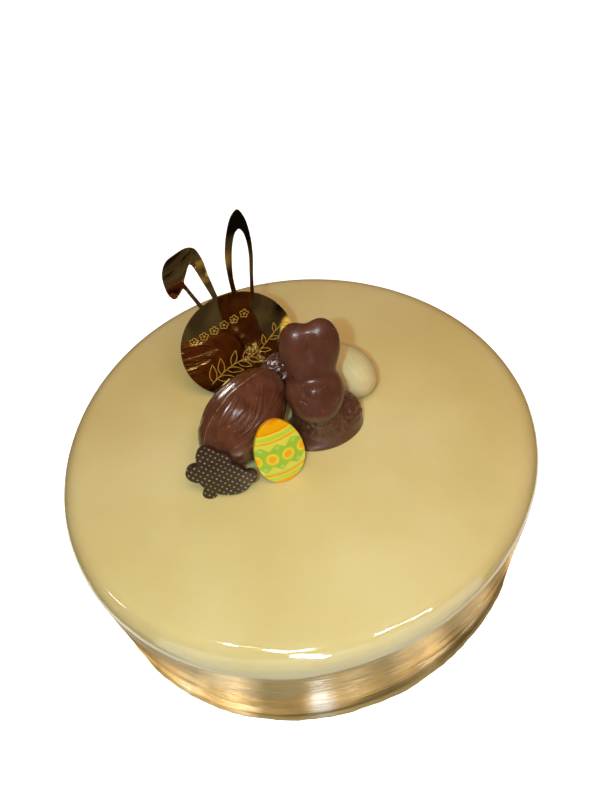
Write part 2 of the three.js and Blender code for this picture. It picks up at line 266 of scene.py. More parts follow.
def apply_modifier(piece, kind, **settings):
    """Adds a modifier to a piece and applies it."""
    start_piece()
    bpy.context.view_layer.objects.active = piece
    piece.select_set(True)
    modifier = piece.modifiers.new(kind.title(), kind)
    for name, value in settings.items():
        setattr(modifier, name, value)
    bpy.ops.object.modifier_apply(modifier=modifier.name)


def join_pieces(pieces):
    """Joins pieces by Boolean union into the first one, and removes the others."""
    whole, *others = pieces
    for other in others:
        apply_modifier(whole, "BOOLEAN", operation="UNION", object=other, solver="EXACT")
        bpy.data.objects.remove(other)
    return whole


def recalculate_normals(piece):
    with edit_mode(piece):
        bpy.ops.mesh.select_all(action="SELECT")
        bpy.ops.mesh.remove_doubles(threshold=0.001 * MM)
        bpy.ops.mesh.normals_make_consistent(inside=False)


def finish_piece(piece, name, materials, nodes=(), smooth_angle=40):
    """Names a modelled piece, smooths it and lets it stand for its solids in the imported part."""
    start_piece()
    bpy.context.view_layer.objects.active = piece
    piece.select_set(True)
    bpy.ops.object.transform_apply(location=True, rotation=True, scale=True)
    bpy.ops.object.shade_smooth_by_angle(angle=math.radians(smooth_angle))
    piece.name = name
    piece.data.name = name
    piece.data.materials.clear()
    for material in materials:
        piece.data.materials.append(material)
    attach(piece, BODY)
    if nodes:
        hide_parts(*nodes)
    return piece


def smoothstep(value, low, high):
    share = np.clip((value - low) / (high - low), 0, 1)
    return share * share * (3 - 2 * share)


def bell(distance, width):
    return np.exp(-((distance / width) ** 2))


def noise_at(points, scale, seed=0.0):
    """Smooth noise from -1 to 1 at each point, for bumps about as large as scale."""
    shift = Vector((seed, seed * 1.7, seed * 0.6))
    return np.array([noise.noise(Vector(point) / scale + shift) for point in points])


def through_points(points, steps):
    """A smooth open line through the points, with so many steps from each to the next."""
    points = np.asarray(points, float)
    padded = np.vstack([2 * points[0] - points[1], points, 2 * points[-1] - points[-2]])
    line = []
    for before, start, end, after in zip(padded, padded[1:], padded[2:], padded[3:]):
        knots = [0.0]
        for a, b in ((before, start), (start, end), (end, after)):
            knots.append(knots[-1] + math.sqrt(np.linalg.norm(b - a)))
        for share in np.arange(steps) / steps:
            line.append(centripetal_point(before, start, end, after, knots, share))
    line.append(points[-1])
    return np.array(line)


def centripetal_point(before, start, end, after, knots, share):
    """A point between start and end on the centripetal Catmull-Rom line through all four."""
    k0, k1, k2, k3 = knots
    k = k1 + (k2 - k1) * share
    a1 = before * (k1 - k) / (k1 - k0) + start * (k - k0) / (k1 - k0)
    a2 = start * (k2 - k) / (k2 - k1) + end * (k - k1) / (k2 - k1)
    a3 = end * (k3 - k) / (k3 - k2) + after * (k - k2) / (k3 - k2)
    b1 = a1 * (k2 - k) / (k2 - k0) + a2 * (k - k0) / (k2 - k0)
    b2 = a2 * (k3 - k) / (k3 - k1) + a3 * (k - k1) / (k3 - k1)
    return b1 * (k2 - k) / (k2 - k1) + b2 * (k - k1) / (k2 - k1)


def leaning_place(foot, lean, turn):
    """The place of a flat piece drawn in X and Y: stood up, leant back and turned to one side."""
    upright = Euler((math.radians(90) - lean, 0, turn), "XYZ")
    return Matrix.Translation(foot) @ upright.to_matrix().to_4x4()


# ---- Cake ------------------------------------------------------------------------------------


class CakeSettings(bpy.types.PropertyGroup):
    radius: length_setting("Radius", "Radius of the glazed cake", 92)
    edge_radius: length_setting("Edge radius", "Rounding of the top edge", 8)
    foot_lip: length_setting("Foot lip", "How far the run-off glaze stands out at the foot", 0.9)
    ripple: length_setting("Ripple", "Depth of the glaze's ripples down the side", 0.22)
    colour: colour_setting("Glaze", "Colour of the mirror glaze", "#EBD79A")
    thin_colour: colour_setting("Thin glaze", "Colour where the glaze lies thinner", "#E3CC88")


CAKE_SIDES = 360
CAKE_FOOT_HEIGHT = 3 * MM
CAKE_FOOT_ROUND = 0.7 * MM
CAKE_SIDE_ROWS = 30
CAKE_EDGE_ROWS = 14
CAKE_TOP_ROWS = 26
# The glaze's noise on the side: the size of its waves, how steep they are, and their seed.
GLAZE_SHEETS = {"size": 26 * MM, "steepness": 3.2, "seed": 3}
GLAZE_RUNS = {"size": 7 * MM, "steepness": 0.35, "seed": 9}
# How high the uneven lip rises at the foot, and how far the top waves.
LIP_RISE = 1.1 * MM
TOP_SAG = 0.07 * MM


def cake_wobble(angle):
    """How far the glazed side stands out of a true circle."""
    oval = CAKE_OVAL["swing"] * np.cos(2 * (angle - CAKE_OVAL["towards"]))
    return oval + CAKE_TRIANGLE["swing"] * np.cos(3 * (angle - CAKE_TRIANGLE["towards"]))


def cake_rows(settings):
    """Radius and height of each ring, from the underside up and over to the middle of the top."""
    foot = settings.radius + settings.foot_lip
    rows = [(foot - CAKE_FOOT_ROUND * 0.5, CAKE_FOOT_ROUND * 0.2), (foot, CAKE_FOOT_ROUND)]
    rows.append((foot - settings.foot_lip * 0.25, CAKE_FOOT_HEIGHT * 0.6))
    edge_start = CAKE_TOP - settings.edge_radius
    for row in range(CAKE_SIDE_ROWS):
        share = row / CAKE_SIDE_ROWS
        rows.append((settings.radius, CAKE_FOOT_HEIGHT + (edge_start - CAKE_FOOT_HEIGHT) * share))
    for row in range(CAKE_EDGE_ROWS):
        turned = row / CAKE_EDGE_ROWS * math.pi / 2
        inward = settings.edge_radius * (1 - math.cos(turned))
        rows.append((settings.radius - inward, edge_start + settings.edge_radius * math.sin(turned)))
    flat = settings.radius - settings.edge_radius
    for row in range(CAKE_TOP_ROWS):
        rows.append((flat * (1 - row / CAKE_TOP_ROWS), CAKE_TOP))
    return rows


def side_noise(around, height, size, steepness, seed):
    """Noise down the side, with heights counted as that many times as tall."""
    return noise_at(around + np.array([0, 0, 1]) * height[:, None] * steepness, size, seed)


def pour_glaze(cake, settings):
    """Gives the side its ripples, the foot its uneven lip and the top its slight waves."""
    points = get_points(cake)
    angle = np.arctan2(points[:, 1], points[:, 0])
    radius = np.hypot(points[:, 0], points[:, 1])
    height = points[:, 2]
    on_side = 1 - smoothstep(height, CAKE_TOP - settings.edge_radius, CAKE_TOP - 1 * MM)
    around = np.stack([np.cos(angle), np.sin(angle), height * 0], 1) * settings.radius
    sheets = side_noise(around, height, **GLAZE_SHEETS)
    runs = side_noise(around, height, **GLAZE_RUNS)
    lip = noise_at(around, 11 * MM, 5) + 0.6 * noise_at(around, 4 * MM, 8)
    near_foot = 1 - smoothstep(height, 2.2 * MM, 6 * MM)
    moved = on_side * settings.ripple * (1.3 * sheets + 0.3 * runs)
    moved += near_foot * settings.foot_lip * np.clip(0.55 * lip - 0.25, -0.5, 0.05)
    rise = near_foot * (height > 1 * MM) * LIP_RISE * lip * smoothstep(height, 1 * MM, 3 * MM)
    # The inner rings of the top follow the side in proportion, and the middle stays.
    shift = (cake_wobble(angle) + moved) * radius / settings.radius
    points[:, :2] *= ((radius + shift) / np.maximum(radius, 1e-9))[:, None]
    points[:, 2] += rise
    sag = noise_at(points * [1, 1, 0], 42 * MM, 2) * TOP_SAG
    points[:, 2] += sag * smoothstep(height, CAKE_TOP - 2 * MM, CAKE_TOP)
    points[:, 2] = np.clip(points[:, 2], 0, CAKE_TOP + 0.1 * MM)
    set_points(cake, points + np.array(RING_CENTRE))


def glaze_material(settings):
    """White chocolate mirror glaze, poured: wet gloss over a creamy, slightly see-through body."""
    material, shader, add = new_material("white_chocolate_mirror_glaze_poured")
    place = piece_coordinates(add)
    # The glaze thins out and pools over a hand's breadth.
    pools = add("TexNoise", {"Vector": place, "Scale": 1 / 55, "Detail": 3.0, "Roughness": 0.45})
    tone = add("ValToRGB", {"Fac": pools})
    set_stops(tone, (0.35, settings.thin_colour), (0.62, settings.colour))
    haze = add("MapRange", {"Value": pools, "To Min": 0.05, "To Max": 0.11})
    # Its skin has set with a barely wavy surface.
    waves = add("TexNoise", {"Vector": place, "Scale": 1 / 9, "Detail": 2.0})
    skin = add("Bump", {"Height": waves, "Strength": 0.12, "Distance": 0.25 * MM})
    # Down the side it froze in level ripples, about 2 mm high and a finger long.
    level = add("Mapping", {"Vector": place, "Scale": (0.05, 0.05, 0.45)})
    ripples = add("TexNoise", {"Vector": level, "Scale": 1.0, "Detail": 3.0})
    rippled = add("Bump", {"Height": ripples, "Strength": 0.7, "Distance": 0.4 * MM, "Normal": skin})
    set_shader(
        shader, Base_Color=tone, Roughness=haze, Normal=rippled, IOR=1.45, Subsurface_Weight=0.25,
        Subsurface_Radius=(1.0, 0.75, 0.4), Subsurface_Scale=2.5 * MM, Coat_Weight=0.25,
        Coat_Roughness=0.03,
    )
    return material


class ENTREMET_OT_cake(bpy.types.Operator):
    """Model the glazed cake ring by ring, from its underside to the middle of its top"""

    bl_idname = "entremet.cake"
    bl_label = "Glazed Cake"

    def execute(self, context):
        settings = context.scene.entremet_cake
        rows = cake_rows(settings)
        start_piece()
        start_radius = settings.radius + settings.foot_lip - CAKE_FOOT_ROUND
        bpy.ops.mesh.primitive_circle_add(vertices=CAKE_SIDES, radius=start_radius, fill_type="NGON")
        cake = context.object
        radius, height = start_radius, 0.0
        with edit_mode(cake):
            bpy.ops.mesh.select_all(action="SELECT")
            for next_radius, next_height in rows:
                bpy.ops.mesh.extrude_region_move(
                    TRANSFORM_OT_translate={"value": (0, 0, next_height - height)}
                )
                ratio = next_radius / radius
                bpy.ops.transform.resize(value=(ratio, ratio, 1), center_override=(0, 0, next_height))
                radius, height = next_radius, next_height
            bpy.ops.mesh.merge(type="CENTER")
        recalculate_normals(cake)
        pour_glaze(cake, settings)
        finish_piece(cake, "glazed_cake", [glaze_material(settings)], ["cake"])
        return {"FINISHED"}


# ---- Topper ----------------------------------------------------------------------------------


class TopperSettings(bpy.types.PropertyGroup):
    disc_radius: length_setting("Disc radius", "Radius of the disc", 22.7)
    thickness: length_setting("Thickness", "Thickness of the acrylic sheet", 0.8)
    lean: angle_setting("Lean", "How far the sheet leans back", 14.5)
    turn: angle_setting("Turn", "How far the sheet is turned", 14.4)
    colour: colour_setting("Mirror", "Colour of the gold mirror", "#F0CF84")
    ornament_colour: colour_setting("Ornament", "Colour of the engraved ornament", "#D9A93C")


# The ears, from the disc's centre, in millimetres: the outer and inner edge of each loop.
STRAIGHT_EAR = {
    "outer": (
        (2.7, 18), (2.9, 29), (3.7, 36.6), (6.1, 44.4), (9.3, 50.2), (12, 51.9), (13.7, 49),
        (14.4, 42), (13.7, 34.5), (12.1, 27), (10.5, 18),
    ),
    "inner": (
        (4.6, 19.5), (4.6, 28), (6, 35.9), (7.6, 41), (9.4, 44.4), (10.9, 45.2), (12, 43.8),
        (12.6, 40.5), (12.4, 35), (11.2, 28.5), (9.4, 19.5),
    ),
}
FLOPPED_EAR = {
    "outer": (
        (-9.6, 18), (-12.3, 25.6), (-14.3, 30), (-16, 27.9), (-18, 26.8), (-19.4, 28.4),
        (-20, 32.5), (-19.4, 37.2), (-17, 40.9), (-13, 42.7), (-9, 43.7), (-6.3, 42.8),
        (-4.6, 38.5), (-4, 32), (-3.2, 26), (-2.2, 18),
    ),
    "inner": (
        (-8.4, 19.5), (-11, 26), (-12.6, 30.4), (-12.9, 31.2), (-13, 31.7), (-12.9, 32.3),
        (-12.4, 33.4), (-11.6, 34.7), (-10.9, 35.9), (-10.2, 37), (-9.6, 37.7), (-9, 37.7),
        (-8.1, 35.6), (-6.8, 30.6), (-5.2, 24.5), (-4.2, 19.5),
    ),
}
EAR_STEPS = 8
EAR_LANES = 4
# How far the flopped ear's loop curls forwards, where that starts and how soon it is reached,
# and how far it rises and shifts with each millimetre.
EAR_CURL = {"forwards": 3.5, "from": 23, "reach": 20, "tip_from": 8, "rise": 0.39, "sideways": -0.06}
# A hair thinner than the disc, so that no faces of the joined sheets lie in one plane.
EAR_THINNER = 0.02 * MM
DISC_SIDES = 192
CUT_EDGE = 0.07 * MM


def add_ear(edges, thickness):
    """One ear loop: a strip of sheet laid between its outer and inner edge."""
    outer = through_points(edges["outer"], EAR_STEPS)
    inner = through_points(edges["inner"], EAR_STEPS)
    rows = len(outer)
    start_piece()
    bpy.ops.mesh.primitive_grid_add(x_subdivisions=rows - 1, y_subdivisions=EAR_LANES, size=2)
    ear = bpy.context.object
    drawn = get_points(ear)
    row = np.rint((drawn[:, 0] + 1) / 2 * (rows - 1)).astype(int)
    lane = ((drawn[:, 1] + 1) / 2)[:, None]
    drawn[:, :2] = (outer[row] * (1 - lane) + inner[row] * lane) * MM
    set_points(ear, drawn)
    recalculate_normals(ear)
    apply_modifier(ear, "SOLIDIFY", thickness=thickness, offset=0)
    recalculate_normals(ear)
    return ear


def curl_ear(topper):
    """Bends the flopped ear's loop forwards, upwards from its root and along its hanging tip."""
    points = get_points(topper)
    rise = np.clip((points[:, 1] / MM - EAR_CURL["from"]) / EAR_CURL["reach"], 0, 1)
    tip = np.clip((-points[:, 0] / MM - EAR_CURL["tip_from"]) / EAR_CURL["reach"], 0, 1)
    share = np.clip((rise + tip * np.sqrt(rise)) / 1.2, 0, 1)
    share = share**3 * (share * (share * 6 - 15) + 10)
    forwards = EAR_CURL["forwards"] * MM * share * (points[:, 0] < 0)
    points[:, 0] += EAR_CURL["sideways"] * forwards
    points[:, 1] += EAR_CURL["rise"] * forwards
    points[:, 2] += forwards
    set_points(topper, points)


def topper_place(settings):
    """The place of what is drawn round the disc's centre. The disc's rim stands at its foot."""
    foot = leaning_place(TOPPER_FOOT, settings.lean, settings.turn)
    return foot @ Matrix.Translation((0, settings.disc_radius, 0))


# The film's slope against the sheet, across and up it, and how that changes over a millimetre.
FILM_SLOPE = (-0.159, -0.104)
FILM_BEND = (-0.0021, 0.0011, -0.001)
# How much more the film slopes with each millimetre past this place on the flopped ear.
FILM_TIP = {"from": -14, "bend": 0.02}


def film_height(add, drawn):
    """The warp of the film in millimetres, from a place in the sheet's own drawing."""
    x, y, _ = add("SeparateXYZ", {"Vector": drawn}).outputs
    across, both, upwards = FILM_BEND
    heights = []
    for slope, bend, cross, along, other in (
        (FILM_SLOPE[0], across / 2, both, x, y), (FILM_SLOPE[1], upwards / 2, 0, y, x)
    ):
        bent = add("Math", {0: along, 1: bend, 2: slope}, operation="MULTIPLY_ADD")
        twisted = add("Math", {0: other, 1: cross, 2: bent}, operation="MULTIPLY_ADD")
        heights.append(add("Math", {0: twisted, 1: along}, operation="MULTIPLY"))
    warped = add("Math", {0: heights[1], 1: heights[0]}, operation="ADD")
    past = add("Math", {0: FILM_TIP["from"], 1: x}, operation="SUBTRACT")
    past = add("Math", {0: past, 1: 0.0}, operation="MAXIMUM")
    curled = add("Math", {0: past, 1: past}, operation="MULTIPLY")
    return add("Math", {0: curled, 1: FILM_TIP["bend"] / 2, 2: warped}, operation="MULTIPLY_ADD")


def mirror_material(settings, place):
    """Gold mirror acrylic, laser cut: a metal film behind clear plastic, with fine handling marks."""
    material, shader, add = new_material("gold_mirror_acrylic_laser_cut")
    drawn = piece_coordinates(add, place)
    level = piece_coordinates(add)
    # Wiping scratches, about 0.15 mm wide and 12 mm long.
    stretched = add("Mapping", {"Vector": level, "Scale": (1, 1, 0.06)})
    scratches = add("TexNoise", {"Vector": stretched, "Scale": 2.4, "Detail": 2.0})
    haze = set_stops(add("ValToRGB", {"Fac": scratches}), (0.55, grey(0.02)), (0.8, grey(0.1)))
    # The sheet isn't quite flat, so that what it mirrors swims a little.
    warp = add("Bump", {"Height": film_height(add, drawn), "Strength": 1.0, "Distance": 1 * MM})
    swim = add("TexNoise", {"Vector": level, "Scale": 1 / 14, "Detail": 0.0})
    film = add("Bump", {"Height": swim, "Strength": 0.1, "Distance": 0.3 * MM, "Normal": warp})
    # The film is a shade darker in patches about 6 mm across.
    tarnish = add("TexNoise", {"Vector": level, "Scale": 1 / 6, "Detail": 3.0})
    tint = add("ValToRGB", {"Fac": tarnish})
    set_stops(tint, (0.35, shaded(settings.colour, 0.9)), (0.6, settings.colour))
    set_shader(shader, Base_Color=tint, Metallic=1.0, Roughness=haze, Normal=film)
    return material


class ENTREMET_OT_topper(bpy.types.Operator):
    """Model the mirrored sheet: a disc with a straight ear and a flopped ear that curls forwards"""

    bl_idname = "entremet.topper"
    bl_label = "Ear Topper"

    def execute(self, context):
        settings = context.scene.entremet_topper
        start_piece()
        bpy.ops.mesh.primitive_cylinder_add(
            vertices=DISC_SIDES, radius=settings.disc_radius, depth=settings.thickness,
            end_fill_type="NGON",
        )
        disc = context.object
        ear_thickness = settings.thickness - EAR_THINNER
        ears = [add_ear(edges, ear_thickness) for edges in (STRAIGHT_EAR, FLOPPED_EAR)]
        topper = join_pieces([disc, *ears])
        apply_modifier(
            topper, "BEVEL", width=CUT_EDGE, segments=2, limit_method="ANGLE",
            angle_limit=math.radians(60), use_clamp_overlap=True,
        )
        curl_ear(topper)
        topper.data.transform(topper_place(settings))
        # A small angle keeps the mirror flat right up to its bevelled edge.
        finish_piece(
            topper, "ear_topper_sheet",
            [mirror_material(settings, topper_place(settings))], ["ear_topper"], smooth_angle=15,
        )
        return {"FINISHED"}


# ---- Topper's ornament -----------------------------------------------------------------------

# A leafy sprig across the disc's lower half, in millimetres from the disc's centre.
SPRIG_STEM = ((-14.5, -13), (-11, -10.8), (-6, -8), (-1, -6.6), (4, -6), (9, -3.6), (14, 0.4), (20.3, 5))
SPRIG_LEAF = {"length": 7.2, "width": 2.6, "lean": math.radians(48)}
SPRIG_LEAVES = 7
SPRIG_STROKE = 0.34
# A row of small blossoms above it.
BLOSSOMS = {"from": (-16.2, 7.6), "to": (5.2, 13), "count": 6, "radius": 1.75, "petals": 5}
BLOSSOM_STROKE = 0.3
ORNAMENT_RISE = 0.05 * MM


def leaf_line(start, direction, length, width):
    """The outline of one pointed leaf, from its stalk round its tip and back."""
    side = np.array([-direction[1], direction[0]])
    share = np.linspace(0, 1, 15)
    swell = np.sin(math.pi * share**0.8) * width / 2
    upper = start + share[:, None] * direction * length + swell[:, None] * side
    lower = start + share[:, None] * direction * length - swell[:, None] * side
    return np.vstack([upper, lower[-2:0:-1]])


def blossom_line(centre, radius, petals):
    """The outline of a small round-petalled blossom."""
    angle = np.linspace(0, 2 * math.pi, 12 * petals, endpoint=False)
    reach = radius * (0.62 + 0.38 * np.abs(np.cos(angle * petals / 2)))
    return centre + np.stack([np.cos(angle), np.sin(angle)], 1) * reach[:, None]


def sprig_lines():
    """The stem, and leaves that leave it on both sides by turns and get smaller to the right."""
    stem = through_points(SPRIG_STEM, 10)
    lines = [(stem, False)]
    for leaf in range(SPRIG_LEAVES * 2):
        share = (leaf + 0.7) / (SPRIG_LEAVES * 2)
        index = int(share * (len(stem) - 2))
        along = stem[index + 1] - stem[index]
        heading = math.atan2(along[1], along[0])
        heading += SPRIG_LEAF["lean"] if leaf % 2 == 0 else -SPRIG_LEAF["lean"]
        direction = np.array([math.cos(heading), math.sin(heading)])
        size = 1.15 - 0.65 * share
        lines.append((
            leaf_line(stem[index], direction, SPRIG_LEAF["length"] * size, SPRIG_LEAF["width"] * size),
            True,
        ))
    return lines


def blossom_lines():
    start, end = np.array(BLOSSOMS["from"]), np.array(BLOSSOMS["to"])
    lines = []
    for blossom in range(BLOSSOMS["count"]):
        centre = start + (end - start) * blossom / (BLOSSOMS["count"] - 1)
        lines.append((blossom_line(centre, BLOSSOMS["radius"], BLOSSOMS["petals"]), True))
        lines.append((blossom_line(centre, BLOSSOMS["radius"] * 0.22, 3), True))
    return lines


def add_strokes(lines, stroke):
    """A curve object whose round strokes follow the lines, drawn in the disc's own plane."""
    curve = bpy.data.curves.new("strokes", "CURVE")
    curve.dimensions = "3D"
    curve.bevel_depth = stroke / 2 * MM
    curve.bevel_resolution = 1
    curve.use_fill_caps = True
    for points, closed in lines:
        spline = curve.splines.new("POLY")
        spline.points.add(len(points) - 1)
        for place, point in zip(spline.points, points):
            place.co = (point[0] * MM, point[1] * MM, 0, 1)
        spline.use_cyclic_u = closed
    strokes = bpy.data.objects.new("strokes", curve)
    bpy.context.scene.collection.objects.link(strokes)
    return strokes


def engraved_material(settings):
    """The same acrylic where the laser took the mirror film off: matt, brighter gold lines."""
    material, shader, add = new_material("gold_acrylic_laser_engraved")
    # The laser's own lines, about 0.1 mm apart, drawn three times as coarse to show.
    grain = add("TexNoise", {"Vector": piece_coordinates(add), "Scale": 3.0, "Detail": 2.0})
    tone = add("ValToRGB", {"Fac": grain})
    set_stops(tone, (0.3, shaded(settings.ornament_colour, 0.72)), (0.7, settings.ornament_colour))
    rough = add("Bump", {"Height": grain, "Strength": 0.4, "Distance": 0.05 * MM})
    set_shader(shader, Base_Color=tone, Metallic=0.25, Roughness=0.5, Normal=rough)
    return material


class ENTREMET_OT_ornament(bpy.types.Operator):
    """Draw the leafy sprig and the row of blossoms on the topper's disc"""

    bl_idname = "entremet.ornament"
    bl_label = "Topper Ornament"

    def execute(self, context):
        settings = context.scene.entremet_topper
        drawn = [
            add_strokes(sprig_lines(), SPRIG_STROKE),
            add_strokes(blossom_lines(), BLOSSOM_STROKE),
        ]
        start_piece()
        for strokes in drawn:
            strokes.select_set(True)
        context.view_layer.objects.active = drawn[0]
        bpy.ops.object.convert(target="MESH")
        bpy.ops.object.join()
        ornament = context.object
        points = get_points(ornament)
        flat = ORNAMENT_RISE / (SPRIG_STROKE / 2 * MM)
        points[:, 2] = points[:, 2] * flat + settings.thickness / 2
        set_points(ornament, points)
        recalculate_normals(ornament)
        ornament.data.transform(topper_place(settings))
        finish_piece(
            ornament, "topper_ornament", [engraved_material(settings)]
        )
        return {"FINISHED"}


# ---- Eggs ------------------------------------------------------------------------------------


def egg_rotation(place):
    """How an egg drawn along X lies: rolled about its length, pitched up and turned."""
    return Euler(
        (math.radians(place["roll"]), -math.radians(place["pitch"]), math.radians(place["turn"])), "XYZ"
    )


def add_egg(settings, bluntness, place, relief, segments=160, rings=96):
    """A moulded egg lying in the glaze, and the matrix that laid it there.

    relief gives how far the skin stands out, from the share along the length and the angle around.
    """
    start_piece()
    bpy.ops.mesh.primitive_uv_sphere_add(
        segments=segments, ring_count=rings, radius=1, rotation=(0, math.pi / 2, 0)
    )
    egg = bpy.context.object
    bpy.ops.object.transform_apply(location=False, rotation=True, scale=False)
    unit = get_points(egg)
    along = np.clip(unit[:, 0], -1, 1)
    ring = np.sqrt(np.maximum(1 - along**2, 0))
    around = np.arctan2(unit[:, 2], unit[:, 1])
    radius = settings.width / 2 * ring * (1 + bluntness * along)
    radius += relief(along, around) * np.minimum(1, 2 * ring)
    points = [along * settings.length / 2, np.cos(around) * radius, np.sin(around) * radius]
    set_points(egg, np.stack(points, 1))
    rotation = egg_rotation(place).to_matrix().to_4x4()
    egg.data.transform(rotation)
    lift = CAKE_TOP - SUNK - get_points(egg)[:, 2].min()
    move = Matrix.Translation(Vector((place["x"] * MM, place["y"] * MM, lift)) + RING_CENTRE)
    egg.data.transform(move)
    return egg, move @ rotation


class MilkEggSettings(bpy.types.PropertyGroup):
    length: length_setting("Length", "Length of the egg", 41.6)
    width: length_setting("Width", "Width of the egg", 27.2)
    groove_depth: length_setting("Groove depth", "Depth of the moulded grooves", 0.5)
    colour: colour_setting("Milk chocolate", "Colour of the milk chocolate", "#643825")


MILK_EGG_BLUNTNESS = -0.07
# The shell's two halves meet along this line: its angle around at the middle, and its slant.
MILK_EGG_SEAM = {"angle": 119, "slant": 10, "width": 0.3}
# Each half has panels side by side, the same each time, and is smooth on the seam's other side.
MILK_EGG_PANEL_TURNS = (0, 58.5, 117, 180, 238.5, 275)
MILK_EGG_PANEL = {"from": 128, "to": 182, "low": -0.66, "high": 0.72}
# A panel's grooves, each a line through places given as share along the egg and angle around.
MILK_EGG_GROOVES = (
    ((-0.5, 132), (-0.36, 139), (-0.24, 138), (-0.08, 137), (0.03, 134)),
    ((-0.36, 147), (-0.24, 152), (-0.09, 153.7), (-0.05, 154.8), (0.06, 148), (0.16, 139)),
    ((-0.43, 157), (-0.3, 161), (-0.13, 161.9), (0.01, 157), (0.16, 152)),
    ((-0.41, 168.6), (-0.25, 171.6), (-0.07, 172.5), (0.07, 169), (0.24, 163)),
    ((-0.1, 177.4), (0.08, 178.8), (0.25, 172), (0.39, 164.5), (0.57, 154)),
)

# Pale specks on the chocolate, partly dust and partly painted tiny highlights, and the chocolate's own
# colour where it was rubbed, paler still as a painted highlight along the seam.
SPECK_DUST_AND_HIGHLIGHT_COLOUR = linear("#C9A88F")
RUBBED_AND_HIGHLIGHT_COLOUR = linear("#A5836A")


def degrees_apart(angle, other):
    """The smallest difference between angles, in degrees."""
    return np.abs((angle - other + 180) % 360 - 180)


def milk_egg_relief(settings):
    """Seam, panel borders and flowing grooves, the same on both halves of the shell."""
    per_degree = math.radians(1) * settings.width / 2
    grooves = [through_points(groove, 6) for groove in MILK_EGG_GROOVES]

    def relief(along, around):
        height = np.zeros_like(along)
        degrees = np.degrees(around)
        for half in (0, 180):
            seam = MILK_EGG_SEAM["angle"] + half + MILK_EGG_SEAM["slant"] * along
            height += 0.22 * MM * bell(degrees_apart(degrees, seam) * per_degree, 0.35 * MM)
        for turn in MILK_EGG_PANEL_TURNS:
            turned = (degrees - turn) % 360
            height += panel_border(along, turned, per_degree)
            for groove in grooves:
                line = np.interp(along, groove[:, 0], groove[:, 1])
                low, high = groove[0, 0], groove[-1, 0]
                begun = smoothstep(along, low - 0.08, low + 0.06)
                length = begun * (1 - smoothstep(along, high - 0.06, high + 0.08))
                past = (turned - line) * per_degree
                height -= settings.groove_depth * length * bell(past, 0.33 * MM)
                height += 0.4 * settings.groove_depth * length * bell(past - 0.85 * MM, 0.5 * MM)
        return height

    return relief


def panel_border(along, turned, per_degree):
    """A panel's raised edge line and the slightly sunk field inside it."""
    panel = MILK_EGG_PANEL
    middle, half = (panel["from"] + panel["to"]) / 2, (panel["to"] - panel["from"]) / 2
    centre, reach = (panel["low"] + panel["high"]) / 2, (panel["high"] - panel["low"]) / 2
    # A rounded box, as the fourth root of fourth powers, measured inwards from its edge.
    box = (((turned - middle) / half) ** 4 + ((along - centre) / reach) ** 4) ** 0.25
    past = (box - 1) * half * per_degree
    return 0.15 * MM * bell(past, 0.4 * MM) - 0.15 * MM * (1 - smoothstep(past, -0.8 * MM, 0))


def chocolate_material(name, colour, roughness, streak_size, streak_stretch=1.0):
    """Tempered chocolate from a mould: satin gloss, paler where it scuffed, pale specks of dust and painted
    tiny highlights, and tiny pinholes.
    """
    material, shader, add = new_material(name)
    place = piece_coordinates(add)
    stretched = add("Mapping", {"Vector": place, "Scale": (1, 1, streak_stretch)})
    streaks = add(
        "TexNoise", {"Vector": stretched, "Scale": 1 / streak_size, "Detail": 5.0, "Roughness": 0.6}
    )
    tone = add("ValToRGB", {"Fac": streaks})
    set_stops(tone, (0.3, shaded(colour, 0.74)), (0.5, colour), (0.75, shaded(colour, 1.25, 0.006)))
    gloss = add("MapRange", {"Value": streaks, "To Min": roughness * 0.7, "To Max": roughness * 1.5})
    # Pale specks, a fifth of a millimetre across and some 2 mm apart: chocolate dust, and painted tiny
    # highlights.
    speck_cells = add("TexVoronoi", {"Vector": place, "Scale": 0.5, "Randomness": 1.0})
    dust_and_highlight_specks = add(
        "MapRange", {"Value": speck_cells, "From Min": 0.05, "From Max": 0.075, "To Min": 0.75, "To Max": 0.0}
    )
    specked_tone = add("Mix", {0: dust_and_highlight_specks, 6: tone, 7: SPECK_DUST_AND_HIGHLIGHT_COLOUR}, data_type="RGBA")
    # Pinholes of trapped air, 0.3 mm across and drawn twice as wide to show.
    pinholes = add("TexVoronoi", {"Vector": place, "Scale": 0.7, "Randomness": 1.0})
    holes = add(
        "MapRange", {"Value": pinholes, "From Min": 0.0, "From Max": 0.22, "To Min": -0.7, "To Max": 0.0}
    )
    fine = add("TexNoise", {"Vector": place, "Scale": 1.6, "Detail": 4.0})
    relief = add("Math", {0: holes, 1: fine}, operation="ADD")
    skin = add("Bump", {"Height": relief, "Strength": 0.35, "Distance": 0.12 * MM})
    set_shader(
        shader, Base_Color=specked_tone, Roughness=gloss, Normal=skin, IOR=1.5, Subsurface_Weight=0.1,
        Subsurface_Radius=(1.0, 0.4, 0.2), Subsurface_Scale=1.0 * MM,
    )
    return material


